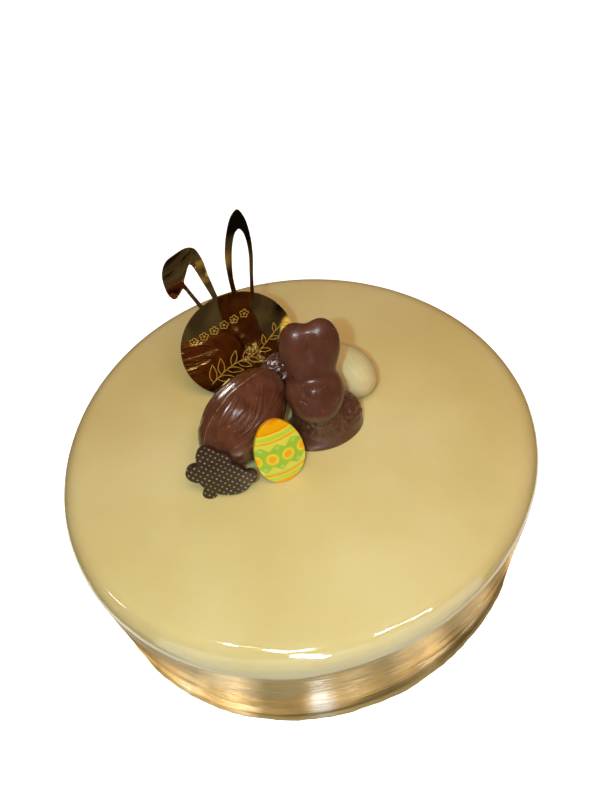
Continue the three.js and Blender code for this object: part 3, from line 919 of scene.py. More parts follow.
def pale_seam_rubbed_and_highlit(material, settings, place):
    """Pales the chocolate along the seam, where the two halves were rubbed flush, with a painted highlight
    along it.
    """
    add = partial(add_node, material.node_tree)
    drawn = piece_coordinates(add, place)
    x, y, z = add("SeparateXYZ", {"Vector": drawn}).outputs
    around = add("Math", {0: z, 1: y}, operation="ARCTAN2")
    slope = math.radians(MILK_EGG_SEAM["slant"]) / (settings.length / 2 / MM)
    level = math.radians(MILK_EGG_SEAM["angle"])
    seam = add("Math", {0: x, 1: slope, 2: level}, operation="MULTIPLY_ADD")
    apart = add("Math", {0: around, 1: seam}, operation="SUBTRACT")
    apart = add("Math", {0: apart}, operation="ABSOLUTE")
    reach = MILK_EGG_SEAM["width"] / (settings.width / 2 / MM)
    line = add("MapRange", {"Value": apart, "From Min": 0.3 * reach, "From Max": reach, **FALLING})
    # The rubbing and the painted highlight are uneven, over stretches of a few millimetres.
    rubbed = add("TexNoise", {"Vector": drawn, "Scale": 0.5, "Detail": 2.0})
    share = add("MapRange", {"Value": rubbed, "From Min": 0.35, "From Max": 0.65})
    share = add("Math", {0: share, 1: line}, operation="MULTIPLY")
    shader = material.node_tree.nodes["Principled BSDF"]
    unscuffed = shader.inputs["Base Color"].links[0].from_socket
    paler = add("Mix", {0: share, 6: unscuffed, 7: RUBBED_AND_HIGHLIGHT_COLOUR}, data_type="RGBA")
    set_shader(shader, Base_Color=paler)


class ENTREMET_OT_milk_egg(bpy.types.Operator):
    """Model the fluted milk chocolate egg that lies on its side"""

    bl_idname = "entremet.milk_egg"
    bl_label = "Milk Chocolate Egg"

    def execute(self, context):
        settings = context.scene.entremet_milk_egg
        relief = milk_egg_relief(settings)
        egg, place = add_egg(settings, MILK_EGG_BLUNTNESS, MILK_EGG_PLACE, relief, segments=384, rings=192)
        material = chocolate_material("milk_chocolate_moulded_glossy", settings.colour, 0.14, 4, 0.5)
        pale_seam_rubbed_and_highlit(material, settings, place)
        finish_piece(egg, "milk_chocolate_egg_shell", [material], ["milk_chocolate_egg"])
        return {"FINISHED"}


class WhiteEggSettings(bpy.types.PropertyGroup):
    length: length_setting("Length", "Length of the egg", 27.9)
    width: length_setting("Width", "Width of the egg", 18.8)
    colour: colour_setting("White chocolate", "Colour of the white chocolate", "#DECD99")


WHITE_EGG_BLUNTNESS = 0.05
WHITE_EGG_PALEST = linear("#E3D3A3")


def white_egg_relief(along, around):
    """Faint lengthwise wiping marks from the mould."""
    marks = np.sin(around * 17 + 2.2 * np.sin(around * 3)) * np.cos(along * 2.1 + around)
    return 0.05 * MM * marks


def white_chocolate_material(settings, place):
    """White chocolate from a dry mould: matt ivory with soft lengthwise streaks."""
    material, shader, add = new_material("white_chocolate_moulded_matt")
    stretched = add("Mapping", {"Vector": piece_coordinates(add, place), "Scale": (0.12, 1, 1)})
    streaks = add("TexNoise", {"Vector": stretched, "Scale": 0.45, "Detail": 4.0, "Roughness": 0.55})
    red, green, blue = settings.colour[:3]
    dull = (red * 0.92, green * 0.92, blue * 0.86, 1.0)
    tone = add("ValToRGB", {"Fac": streaks})
    set_stops(tone, (0.32, dull), (0.58, settings.colour), (0.8, WHITE_EGG_PALEST))
    skin = add("Bump", {"Height": streaks, "Strength": 0.3, "Distance": 0.15 * MM})
    set_shader(
        shader, Base_Color=tone, Roughness=0.55, Normal=skin, IOR=1.45, Subsurface_Weight=0.3,
        Subsurface_Radius=(1.0, 0.8, 0.5), Subsurface_Scale=2 * MM,
    )
    return material


class ENTREMET_OT_white_egg(bpy.types.Operator):
    """Model the matt white chocolate egg behind the bunny"""

    bl_idname = "entremet.white_egg"
    bl_label = "White Chocolate Egg"

    def execute(self, context):
        settings = context.scene.entremet_white_egg
        egg, place = add_egg(settings, WHITE_EGG_BLUNTNESS, WHITE_EGG_PLACE, white_egg_relief)
        material = white_chocolate_material(settings, place)
        finish_piece(
            egg, "white_chocolate_egg_shell", [material], ["white_chocolate_egg"]
        )
        return {"FINISHED"}


class SmallEggSettings(bpy.types.PropertyGroup):
    length: length_setting("Length", "Length of the egg", 19)
    width: length_setting("Width", "Width of the egg", 18.4)
    crinkle: length_setting("Crinkle", "Depth of the crinkled skin", 0.9)
    colour: colour_setting("Chocolate", "Colour of the crinkled chocolate", "#523026")


# The radius that the crinkles are worked out at.
CRINKLED_RADIUS = 9.3 * MM


def small_egg_relief(settings):
    """Sharp folds, as a crumpled wrapper presses them into soft chocolate."""

    def relief(along, around):
        ring = np.sqrt(np.maximum(1 - along**2, 0))
        skin = np.stack([along, ring * np.cos(around), ring * np.sin(around)], 1) * CRINKLED_RADIUS
        folds = 1 - 2 * np.abs(noise_at(skin, 3.0 * MM, 4))
        creases = 1 - 2 * np.abs(noise_at(skin, 1.5 * MM, 6))
        return settings.crinkle * (folds - 0.6 + 0.4 * (creases - 0.6))

    return relief


class ENTREMET_OT_small_egg(bpy.types.Operator):
    """Model the small crinkled egg behind the big one"""

    bl_idname = "entremet.small_egg"
    bl_label = "Small Crinkled Egg"

    def execute(self, context):
        settings = context.scene.entremet_small_egg
        egg, _ = add_egg(settings, 0, SMALL_EGG_PLACE, small_egg_relief(settings))
        material = chocolate_material("dark_chocolate_crinkled_glossy", settings.colour, 0.16, 2)
        finish_piece(
            egg, "small_crinkled_egg", [material], ["small_chocolate_egg"],
            smooth_angle=70,
        )
        return {"FINISHED"}


# ---- Bunny -----------------------------------------------------------------------------------


class BunnySettings(bpy.types.PropertyGroup):
    blend: length_setting("Blend", "How softly the body's rounds run into each other", 1.1)
    colour: colour_setting("Milk chocolate", "Colour of the bunny's chocolate", "#5C3324")


# The bunny's rounds, in millimetres from where it sits: centre, half sizes, and degrees turned
# about Z or tilted about X. Base, chest, haunch, head, muzzle, neck, ears' web and two ears.
BUNNY_FORMS = (
    ((1.8, -2.2, -0.5), (15.9, 11.1, 8.4), 14, 0),
    ((0.5, -1.5, 11), (10, 10.5, 13), 0, 0),
    ((7.6, -1.6, 6.6), (9.2, 8, 8.8), 0, 0),
    ((-0.2, -5.2, 24.5), (10.4, 9.8, 9), 0, 0),
    ((-0.2, -11.3, 22.6), (6.4, 5, 4.4), 0, 0),
    ((-0.6, -2.2, 33), (7.6, 5, 8), 0, 0),
    ((-0.6, 1, 42), (6, 3.6, 6), 0, 0),
    ((-5, 1, 41.2), (5.4, 4.6, 9.2), 0, -14),
    ((4.2, 1, 41.6), (6, 4.8, 9.4), 0, -14),
)
BUNNY_SPINE = ((0.5, -1.5, -1), (0.3, -1.8, 12), (-0.8, -4.4, 22), (-0.7, -3, 32), (-0.6, 0.4, 41))
BUNNY_SIDES = 240
BUNNY_ROWS = 230
BUNNY_REACH = 26
# How often a ray's reach is halved to find the skin.
BUNNY_HALVINGS = 24
# The share of the rows that close the underside, and the share where the head's cap begins.
BUNNY_FLOOR_SHARE = 0.04
BUNNY_CAP_SHARE = 0.78


def bunny_distance(points, blend):
    """Roughly how far points in millimetres lie outside the bunny's blended rounds."""
    total = np.zeros(len(points))
    for centre, size, turn, tilt in BUNNY_FORMS:
        local = points - np.array(centre)
        c, s = math.cos(math.radians(-turn)), math.sin(math.radians(-turn))
        x, y = local[:, 0] * c - local[:, 1] * s, local[:, 0] * s + local[:, 1] * c
        c, s = math.cos(math.radians(-tilt)), math.sin(math.radians(-tilt))
        y, z = y * c - local[:, 2] * s, y * s + local[:, 2] * c
        reach = np.sqrt((x / size[0]) ** 2 + (y / size[1]) ** 2 + (z / size[2]) ** 2)
        total += np.exp(np.clip(-(reach - 1) * min(size) / blend, -60, 60))
    return -blend * np.log(np.maximum(total, 1e-30))


def cast_to_bunny(starts, directions, blend):
    """How far each ray runs from inside the bunny to its skin, in millimetres."""
    low, high = np.zeros(len(starts)), np.full(len(starts), float(BUNNY_REACH))
    for _ in range(BUNNY_HALVINGS):
        middle = (low + high) / 2
        outside = bunny_distance(starts + directions * middle[:, None], blend) > 0
        high = np.where(outside, middle, high)
        low = np.where(outside, low, middle)
    return (low + high) / 2


def bunny_skin(unit, blend):
    """Lays the points of a unit sphere on the bunny's skin, in millimetres."""
    share = np.arcsin(np.clip(unit[:, 2], -1, 1)) / math.pi + 0.5
    around = np.arctan2(unit[:, 1], unit[:, 0])
    spine = through_points(BUNNY_SPINE, 16)
    climb = np.clip((share - BUNNY_FLOOR_SHARE) / (BUNNY_CAP_SHARE - BUNNY_FLOOR_SHARE), 0, 1)
    place = climb * (len(spine) - 1)
    index = np.minimum(place.astype(int), len(spine) - 2)
    part = (place - index)[:, None]
    starts = spine[index] * (1 - part) + spine[index + 1] * part
    rise = np.clip((share - BUNNY_CAP_SHARE) / (1 - BUNNY_CAP_SHARE), 0, 1) * math.pi / 2
    directions = np.stack(
        [np.cos(around) * np.cos(rise), np.sin(around) * np.cos(rise), np.sin(rise)], 1
    )
    reach = cast_to_bunny(starts, directions, blend)
    reach *= np.clip(share / BUNNY_FLOOR_SHARE, 0, 1)
    return starts + directions * reach[:, None]


# Rounds pressed up or down on the skin: centre, size and height in millimetres.
BUNNY_TUFTS = (
    ((-2.6, -10.4, 32.4), 1.5, 0.55), ((-0.4, -11.1, 32.2), 1.5, 0.65), ((1.6, -10.6, 32.0), 1.3, 0.5),
    ((-1.4, -11.6, 30.6), 1.2, 0.5), ((0.9, -11.5, 30.5), 1.2, 0.45), ((3.4, -10.3, 30.9), 1.0, 0.35),
    ((-3.6, -11, 30.6), 1.0, -0.3), ((2.6, -11.3, 29.6), 0.9, -0.3), ((-0.3, -12.2, 29.2), 0.9, -0.3),
)
BUNNY_VALLEY = (
    ((-0.4, -3.2, 48), 2.0, -0.9), ((-0.4, -4.2, 45), 2.0, -1.1), ((-0.4, -4.6, 42), 2.4, -0.45),
)
BUNNY_NOSE = (
    ((-1.2, -16.2, 24.6), 1.5, 0.45), ((-2.9, -15.8, 25.6), 0.8, -0.3), ((1.1, -15.7, 25.7), 0.8, -0.3),
)
BUNNY_FUR = (
    ((3.4, -11.4, 13.5), 1.1, -0.6), ((7, -9.5, 13.3), 1.2, -0.65), ((10.4, -6.6, 13.6), 1.2, -0.65),
    ((12.9, -4.3, 13.2), 1.1, -0.6), ((7.4, -10.2, 8), 1.2, -0.6), ((11.5, -8.4, 9.6), 1.3, -0.65),
    ((5.2, -11, 10.8), 1.1, 0.5), ((9, -8.8, 11.4), 1.1, 0.5), ((12.4, -6.2, 11.6), 1.1, 0.5),
    ((14.2, -1.5, 12), 1.2, -0.6), ((14.6, 1.6, 10.5), 1.2, 0.3), ((15.6, -4, 9), 1.2, -0.5),
)
BUNNY_FEET = (((-0.9, -11.9, 9.7), 2.2, 0.5), ((3.5, -11.8, 6.6), 2.6, 0.6), ((8.4, -10.4, 5.3), 2.2, 0.45))
# Eyes: centre, half width and half height, and the furrow round each.
BUNNY_EYES = (((-5.6, -13.4, 27.8), 2.3, 1.35), ((5.6, -12.4, 27.3), 2.6, 1.4))
BUNNY_EYE_FURROW = {"depth": 0.2, "width": 0.22}


def press_rounds(points, normals, rounds):
    """Pushes the skin out or in around each centre."""
    for centre, size, height in rounds:
        distance = np.linalg.norm(points - np.array(centre), axis=1)
        points = points + normals * (height * bell(distance, size))[:, None]
    return points


def press_eyes(points, normals):
    """A shallow oval furrow round each eye."""
    for centre, half_width, half_height in BUNNY_EYES:
        local = points - np.array(centre)
        sideways = np.hypot(local[:, 0], local[:, 1] * 0.9)
        oval = np.sqrt((sideways / half_width) ** 2 + (local[:, 2] / half_height) ** 2)
        near = np.abs(local[:, 1]) < 5
        depth = BUNNY_EYE_FURROW["depth"] * bell(oval - 1, BUNNY_EYE_FURROW["width"])
        points = points - normals * (depth * near)[:, None]
    return points


def carve_bunny(points, normals):
    """Adds what the mould gave the bunny: tuft, face, fur and feet."""
    rounds = BUNNY_VALLEY + BUNNY_TUFTS + BUNNY_NOSE + BUNNY_FUR + BUNNY_FEET
    points = press_rounds(points, normals, rounds)
    points = press_eyes(points, normals)
    # The fur is uneven below the face, and everything else is a little hand-worn.
    fur = (1 - smoothstep(points[:, 2], 15, 19)) * smoothstep(points[:, 2], 4, 8)
    tufts = noise_at(points, 1.4, 12) * 0.5 * fur
    worn = noise_at(points, 6, 14) * 0.12
    return points + normals * (tufts + worn)[:, None]


class ENTREMET_OT_bunny(bpy.types.Operator):
    """Model the sitting chocolate bunny by laying a sphere's skin on its blended rounds"""

    bl_idname = "entremet.bunny"
    bl_label = "Chocolate Bunny"

    def execute(self, context):
        settings = context.scene.entremet_bunny
        start_piece()
        bpy.ops.mesh.primitive_uv_sphere_add(segments=BUNNY_SIDES, ring_count=BUNNY_ROWS, radius=1)
        bunny = context.object
        skin = bunny_skin(get_points(bunny), settings.blend / MM)
        set_points(bunny, skin)
        set_points(bunny, carve_bunny(skin, get_normals(bunny)) * MM)
        bunny.data.transform(Matrix.Translation(BUNNY_PLACE))
        with edit_mode(bunny):
            bpy.ops.mesh.select_all(action="SELECT")
            bpy.ops.mesh.bisect(
                plane_co=(0, 0, CAKE_TOP - SUNK), plane_no=(0, 0, 1), use_fill=True, clear_inner=True
            )
        recalculate_normals(bunny)
        material = chocolate_material("milk_chocolate_moulded_satin", settings.colour, 0.28, 7)
        finish_piece(
            bunny, "chocolate_bunny_figure", [material], ["chocolate_bunny"]
        )
        return {"FINISHED"}


# ---- Printed plaque --------------------------------------------------------------------------


class PrintedPlaqueSettings(bpy.types.PropertyGroup):
    width: length_setting("Width", "Width of the plaque", 18.4)
    height: length_setting("Height", "Height of the plaque", 26.2)
    thickness: length_setting("Thickness", "Thickness of the plaque", 2)
    lean: angle_setting("Lean", "How far the plaque leans back", 22)
    turn: angle_setting("Turn", "How far the plaque is turned", 18)
    yellow: colour_setting("Yellow", "Yellow cocoa butter of the field", "#E2D44C")
    green: colour_setting("Green", "Green cocoa butter of the zigzag", "#A2C232")
    orange: colour_setting("Orange", "Orange cocoa butter of caps, lines and dots", "#F5A800")


PLAQUE_SIDES = 160
PLAQUE_BLUNTNESS = 0.085
PLAQUE_BEVEL = 0.4 * MM
# The print's bands, bowed like a smile: height of each band's lower edge in millimetres.
PRINT_BOW = 0.024
PRINT_BANDS = (
    (0.0, "orange"), (1.4, "yellow"), (1.8, "lime"), (3.1, "yellow"), (3.7, "orange"), (4.5, "lime"),
    (5.0, "field"), (17.6, "orange"), (18.15, "yellow"), (18.8, "lime"), (20.3, "yellow"),
    (21.2, "deep"), (21.8, "orange"), (25.2, "deep"),
)
PRINT_TOP = 27
# The green zigzag: its peaks' spacing and first place, its middle height, half height and swing,
# and how far its edge is blurred.
ZIGZAG = {"pitch": 6.1, "first": -0.5, "middle": 11.1, "half": 4.4, "swing": 1.15, "blur": 0.25}
# Ringed dots along the zigzag's middle, and small pale dots near its peaks.
RING_DOTS = {"pitch": 6.0, "first": -3.2, "height": 10.9, "radius": 1.45, "ring": 2.35, "blur": 0.3}
PALE_DOTS = {"pitch": 6.3, "first": -0.4, "heights": (6.95, 15.2), "radius": 0.75, "blur": 0.35}
PALE_GREEN = linear("#B6D257")


def printed_material(settings, place):
    """White chocolate printed with coloured cocoa butter: smooth, glossy, soft-edged print."""
    material, shader, add = new_material("white_chocolate_printed_cocoa_butter")
    drawn = piece_coordinates(add, place)
    # Cocoa butter ink creeps a little, so edges wander by about 0.1 mm.
    wander = add("TexNoise", {"Vector": drawn, "Scale": 0.8, "Detail": 2.0})
    spread = add("VectorMath", {0: wander.outputs["Color"], 1: (0.5, 0.5, 0.5)}, operation="SUBTRACT")
    crept = add("VectorMath", {0: spread, 1: (0.5, 0.5, 0.0), 2: drawn}, operation="MULTIPLY_ADD")
    x, y, _ = add("SeparateXYZ", {"Vector": crept}).outputs
    squared = add("Math", {0: x, 1: x}, operation="MULTIPLY")
    up = add("Math", {0: squared, 1: -PRINT_BOW, 2: y}, operation="MULTIPLY_ADD")
    inks = {
        "orange": settings.orange, "yellow": linear("#F2D22E"), "lime": linear("#BDD24A"),
        "field": settings.yellow, "deep": linear("#EE9300"),
    }
    share = add("Math", {0: up, 1: PRINT_TOP}, operation="DIVIDE")
    bands = [(height / PRINT_TOP, inks[ink]) for height, ink in PRINT_BANDS]
    colour = set_stops(add("ValToRGB", {"Fac": share}), *bands, interpolation="CONSTANT")
    # Both of the zigzag's edges swing away from its middle line and back, widest at its peaks.
    across = repeated_offset(add, x, ZIGZAG["pitch"], ZIGZAG["first"])
    across = add("Math", {0: across}, operation="ABSOLUTE")
    steepness = -4 * ZIGZAG["swing"] / ZIGZAG["pitch"]
    peak = ZIGZAG["half"] + ZIGZAG["swing"]
    edge = add("Math", {0: across, 1: steepness, 2: peak}, operation="MULTIPLY_ADD")
    off = add("Math", {0: up, 1: ZIGZAG["middle"]}, operation="SUBTRACT")
    off = add("Math", {0: off}, operation="ABSOLUTE")
    depth = add("Math", {0: edge, 1: off}, operation="SUBTRACT")
    inside = add("MapRange", {"Value": depth, "From Min": -ZIGZAG["blur"], "From Max": ZIGZAG["blur"]})
    colour = add("Mix", {0: inside, 6: colour, 7: settings.green}, data_type="RGBA")
    near = repeated_offset(add, x, PALE_DOTS["pitch"], PALE_DOTS["first"])
    for height in PALE_DOTS["heights"]:
        mask = dot_mask(add, near, up, height, PALE_DOTS["radius"], PALE_DOTS["blur"])
        colour = add("Mix", {0: mask, 6: colour, 7: PALE_GREEN}, data_type="RGBA")
    near = repeated_offset(add, x, RING_DOTS["pitch"], RING_DOTS["first"])
    for radius, ink in ((RING_DOTS["ring"], "yellow"), (RING_DOTS["radius"], "orange")):
        mask = dot_mask(add, near, up, RING_DOTS["height"], radius, RING_DOTS["blur"])
        colour = add("Mix", {0: mask, 6: colour, 7: inks[ink]}, data_type="RGBA")
    skin = add("Bump", {"Height": wander, "Strength": 0.12, "Distance": 0.1 * MM})
    set_shader(shader, Base_Color=colour, Roughness=0.3, Normal=skin, IOR=1.45)
    return material


class ENTREMET_OT_printed_plaque(bpy.types.Operator):
    """Model the flat egg-shaped plaque with its printed bands"""

    bl_idname = "entremet.printed_plaque"
    bl_label = "Printed Plaque"

    def execute(self, context):
        settings = context.scene.entremet_printed_plaque
        start_piece()
        bpy.ops.mesh.primitive_circle_add(vertices=PLAQUE_SIDES, radius=1, fill_type="NGON")
        plaque = context.object
        points = get_points(plaque)
        points[:, 0] *= settings.width / 2 * (1 - PLAQUE_BLUNTNESS * points[:, 1])
        points[:, 1] = (points[:, 1] + 1) * settings.height / 2
        points[:, 2] = -settings.thickness
        set_points(plaque, points)
        with edit_mode(plaque, "FACE"):
            bpy.ops.mesh.select_all(action="SELECT")
            bpy.ops.mesh.extrude_region_move(TRANSFORM_OT_translate={"value": (0, 0, settings.thickness)})
        recalculate_normals(plaque)
        apply_modifier(
            plaque, "BEVEL", width=PLAQUE_BEVEL, segments=4, limit_method="ANGLE",
            angle_limit=math.radians(50),
        )
        place = leaning_place(PRINTED_PLAQUE_FOOT, settings.lean, settings.turn)
        plaque.data.transform(place)
        finish_piece(
            plaque, "printed_plaque_chocolate",
            [printed_material(settings, place)], ["printed_egg_plaque"],
        )
        return {"FINISHED"}


# ---- Dotted plaque ---------------------------------------------------------------------------


class DottedPlaqueSettings(bpy.types.PropertyGroup):
    thickness: length_setting("Thickness", "Thickness of the plaque", 1.8)
    lean: angle_setting("Lean", "How far the plaque leans back", 16)
    turn: angle_setting("Turn", "How far the plaque is turned", -4)
    dot_radius: length_setting("Dot radius", "Radius of a printed dot", 0.29)
    colour: colour_setting("Dark chocolate", "Colour of the dark chocolate", "#2E1C19")
    dot_colour: colour_setting("Dots", "Colour of the printed dots", "#C0A966")


# The animal's rounds, in millimetres from the plaque's foot: centre, half sizes and turn.
# Body, head, ear, front paw, hind paw and tail.
ANIMAL_ROUNDS = (
    ((6.8, 8.9), (9.4, 7.5), -20),
    ((2.7, 18.3), (4, 5.1), 0),
    ((7.1, 16.9), (3.6, 3.7), -40),
    ((-2.1, 11.9), (4, 4), 0),
    ((0.9, 2.4), (2.7, 2.5), 20),
    ((16.3, 8.9), (2.4, 2.8), 0),
)
# Each round is a hair thinner than the last, so that no two faces lie in one plane.
ANIMAL_THINNER = 0.01 * MM
ANIMAL_SIDES = 72
ANIMAL_BEVEL = 0.3 * MM
# The lattice of dots: its two steps from a dot to its neighbours, where it starts, how much wear
# shrinks or swells a dot, and how far its edge is blurred.
DOT_STEPS = ((1.38, -1.10), (1.30, 1.57))
DOT_ORIGIN = (0.41, 7.07)
DOT_WEAR = 0.5
DOT_BLUR = 0.12


def dotted_material(settings, place):
    """Dark chocolate with cream cocoa butter dots from a transfer sheet, satin and slightly worn."""
    material, shader, add = new_material("dark_chocolate_transfer_dots")
    drawn = piece_coordinates(add, place)
    # Along each of the lattice's two directions, how far a point is from the nearest row.
    (ax, ay), (bx, by) = DOT_STEPS
    size = ax * by - ay * bx
    flat = add("VectorMath", {0: drawn, 1: (1, 1, 0)}, operation="MULTIPLY")
    centred = add("VectorMath", {0: flat, 1: (*DOT_ORIGIN, 0)}, operation="SUBTRACT")
    offsets = []
    for step, direction in (
        ((ax, ay, 0), (by / size, -bx / size, 0)), ((bx, by, 0), (-ay / size, ax / size, 0))
    ):
        count = add("VectorMath", {0: centred, 1: direction}, operation="DOT_PRODUCT")
        past = repeated_offset(add, count, 1.0, 0.0)
        offsets.append(add("VectorMath", {0: step, "Scale": past}, operation="SCALE"))
    from_dot = add("VectorMath", {0: offsets[0], 1: offsets[1]}, operation="ADD")
    length = add("VectorMath", {0: from_dot}, operation="LENGTH")
    wear = add("TexNoise", {"Vector": drawn, "Scale": 0.9, "Detail": 2.0})
    worn = add("Math", {0: wear, 1: DOT_WEAR, 2: length}, operation="MULTIPLY_ADD")
    radius = settings.dot_radius / MM + DOT_WEAR / 2
    low, high = radius - DOT_BLUR, radius + DOT_BLUR
    mask = add("MapRange", {"Value": worn, "From Min": low, "From Max": high, **FALLING})
    # The sheet printed the front face alone.
    depth = add("SeparateXYZ", {"Vector": drawn}).outputs["Z"]
    front = add("MapRange", {"Value": depth, "From Min": -0.2, "From Max": -0.12})
    mask = add("Math", {0: mask, 1: front}, operation="MULTIPLY")
    bloom = add("ValToRGB", {"Fac": wear})
    set_stops(bloom, (0.35, settings.colour), (0.7, shaded(settings.colour, 1.5, 0.004)))
    colour = add("Mix", {0: mask, 6: bloom, 7: settings.dot_colour}, data_type="RGBA")
    skin = add("Bump", {"Height": wear, "Strength": 0.3, "Distance": 0.12 * MM})
    set_shader(shader, Base_Color=colour, Roughness=0.42, Normal=skin, IOR=1.45)
    return material


class ENTREMET_OT_dotted_plaque(bpy.types.Operator):
    """Model the dark chocolate plaque in the outline of a small animal"""

    bl_idname = "entremet.dotted_plaque"
    bl_label = "Dotted Plaque"

    def execute(self, context):
        settings = context.scene.entremet_dotted_plaque
        rounds = []
        for index, (centre, half_size, turn) in enumerate(ANIMAL_ROUNDS):
            start_piece()
            depth = settings.thickness - ANIMAL_THINNER * index
            bpy.ops.mesh.primitive_cylinder_add(vertices=ANIMAL_SIDES, radius=1, depth=1)
            piece = context.object
            piece.scale = (half_size[0] * MM, half_size[1] * MM, depth)
            piece.rotation_euler = (0, 0, math.radians(turn))
            piece.location = (centre[0] * MM, centre[1] * MM, -settings.thickness / 2)
            bpy.ops.object.transform_apply(location=True, rotation=True, scale=True)
            rounds.append(piece)
        plaque = join_pieces(rounds)
        apply_modifier(
            plaque, "BEVEL", width=ANIMAL_BEVEL, segments=3, limit_method="ANGLE",
            angle_limit=math.radians(60),
        )
        place = leaning_place(DOTTED_PLAQUE_FOOT, settings.lean, settings.turn)
        plaque.data.transform(place)
        finish_piece(
            plaque, "dotted_plaque_chocolate",
            [dotted_material(settings, place)], ["dotted_animal_plaque"],
        )
        return {"FINISHED"}


# ---- Stage -----------------------------------------------------------------------------------


class StageSettings(bpy.types.PropertyGroup):
    floor_colour: colour_setting("Floor", "Colour of the floor", "#F4F2EE")
    key_power: power_setting("Key", "Power of the small lamp beside the camera", 0.255)
    fill_power: power_setting("Fill", "Power of the large lamp overhead", 1.085)
    mirrored_power: power_setting("Mirrored key", "Power of the light that the disc throws back", 0.6)


# The camera looks down on the cake from the front: place and heading from the photo's view.
CAMERA_PLACE = Vector((2.92, -146.93, 250.32)) * MM
CAMERA_DOWN = math.radians(50.28)
CAMERA_ROLL = math.radians(-7.82)
CAMERA_LENS = 27.675
CAMERA_SENSOR = 36
# A small cool lamp just left of the camera, and a broad warm one overhead that makes no glints.
KEY_ASIDE = 24 * MM
KEY_SIZE = 8 * MM
KEY_COLOUR = linear("#A9EBFF")[:3]
FILL_PLACE = Vector((30, -160, 420)) * MM
FILL_SIZE = 300 * MM
FILL_COLOUR = linear("#FFDCC5")[:3]
# Strips of light that only make glints in the glaze's rim: both ends, width and brightness.
RIM_GLINTS = (
    ((-46.6, -73.5, 127.7), (-43.5, -80, 128), 6, 130),
    ((-39, -79.5, 128.4), (-32, -82, 129), 1.5, 40),
    ((-29, -90, 127.5), (-18.4, -112, 122.5), 5, 110),
    ((-13.5, -114, 100), (3.9, -130.9, 84.3), 7, 200),
    ((31, -112, 121), (45, -113, 118), 6, 130),
    ((48, -112, 117.5), (71, -112.5, 108), 2.5, 90),
    ((-131.5, -63.1, 90.2), (-120.1, -75.4, 97.9), 2, 50),
)
STRIP_COLOUR = (1, 0.97, 0.9)
# A wide, low, pale window in front, which only the glaze mirrors.
WINDOW = {"place": (10, -132, 56), "width": 300, "height": 90, "brightness": 2.0}
WINDOW_COLOUR = linear("#EAFBFF")[:3]
# The lamp as the gloss shows it. The milk chocolate egg's ribs catch it from a place of their own.
GLINT_COLOUR = linear("#F2F5FA")[:3]
EGG_GLINT = {"place": Vector((3, -73, 250)) * MM, "size": 5, "brightness": 2000}
# Light thrown back from the room behind: which piece shows it, both ends, width and brightness.
BACK_GLINTS = (
    ("milk_chocolate_egg_shell", (-68, 50, 102), (-44, 62, 110), 4, 60),
    ("small_crinkled_egg", (-57, 55, 115), (-45, -10, 130), 40, 12),
)
# What the disc's mirror throws light on, and that light's colour.
MIRROR_LIT = (
    "milk_chocolate_egg_shell", "chocolate_bunny_figure", "small_crinkled_egg",
    "white_chocolate_egg_shell", "glazed_cake",
)
MIRRORED_COLOUR = linear("#FFF0D0")[:3]
MIRRORED_BLEND = 0.05
WORLD_COLOUR = linear("#FFDDB0")
WORLD_STRENGTH = 0.12
# The floor's width and the dome's radius, in metres, and how brightly the dome glows.
FLOOR_SIZE = 6
BACKDROP_RADIUS = 2.95
BACKDROP_GLOW = 1.1


def camera_axes():
    """The camera's right, up and forward directions."""
    forward = Vector((0, math.cos(CAMERA_DOWN), -math.sin(CAMERA_DOWN)))
    level = Vector((1, 0, 0))
    upright = level.cross(forward)
    right = math.cos(CAMERA_ROLL) * level + math.sin(CAMERA_ROLL) * upright
    up = -math.sin(CAMERA_ROLL) * level + math.cos(CAMERA_ROLL) * upright
    return right, up, forward


def add_camera():
    right, up, forward = camera_axes()
    bpy.ops.object.camera_add(location=CAMERA_PLACE)
    camera = bpy.context.object
    camera.rotation_euler = Matrix((right, up, -forward)).transposed().to_euler()
    camera.data.lens = CAMERA_LENS
    camera.data.sensor_width = CAMERA_SENSOR
    camera.data.clip_start = 10 * MM
    camera.data.clip_end = 10
    bpy.context.scene.camera = camera


def add_lamp(name, place, towards, size, power, colour):
    """A round area lamp that faces a point."""
    bpy.ops.object.light_add(type="AREA", location=place)
    lamp = bpy.context.object
    lamp.name = name
    lamp.data.shape = "DISK"
    lamp.data.size = size
    lamp.data.energy = power
    lamp.data.color = colour
    lamp.rotation_euler = (Vector(towards) - Vector(place)).to_track_quat("-Z", "Y").to_euler()
    return lamp


def floor_material(settings):
    """Matt paint on a studio floor that is lit from below, with a very slight mottle."""
    material, shader, add = new_material("matt_painted_floor")
    mottle = add("TexNoise", {"Vector": piece_coordinates(add), "Scale": 1 / 90, "Detail": 4.0})
    tone = add("ValToRGB", {"Fac": mottle})
    set_stops(tone, (0.3, shaded(settings.floor_colour, 0.97)), (0.7, settings.floor_colour))
    set_shader(
        shader, Base_Color=tone, Roughness=0.9, Specular_IOR_Level=0.0, Emission_Color=(1, 1, 1, 1),
        Emission_Strength=1.0,
    )
    return material


def show_to(stage_piece, camera=False, glints=False):
    """Shows a piece of the stage to the camera, to glossy skins, or to both, and lights nothing."""
    stage_piece.visible_camera = camera
    stage_piece.visible_glossy = glints
    stage_piece.visible_diffuse = False
    stage_piece.visible_transmission = False
    stage_piece.visible_shadow = False
    stage_piece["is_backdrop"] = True


def add_floor(settings):
    """A pale floor, and a pale dome round it as the background of low views."""
    bpy.ops.mesh.primitive_plane_add(size=FLOOR_SIZE, location=(0, 0, 0))
    floor = bpy.context.object
    floor.name = "floor"
    floor.data.materials.append(floor_material(settings))
    show_to(floor, camera=True)
    bpy.ops.mesh.primitive_uv_sphere_add(segments=64, ring_count=32, radius=BACKDROP_RADIUS)
    dome = bpy.context.object
    dome.name = "backdrop"
    glow = (settings.floor_colour, BACKDROP_GLOW)
    dome.data.materials.append(glow_material("white_backdrop", lambda add: glow))
    show_to(dome, camera=True)
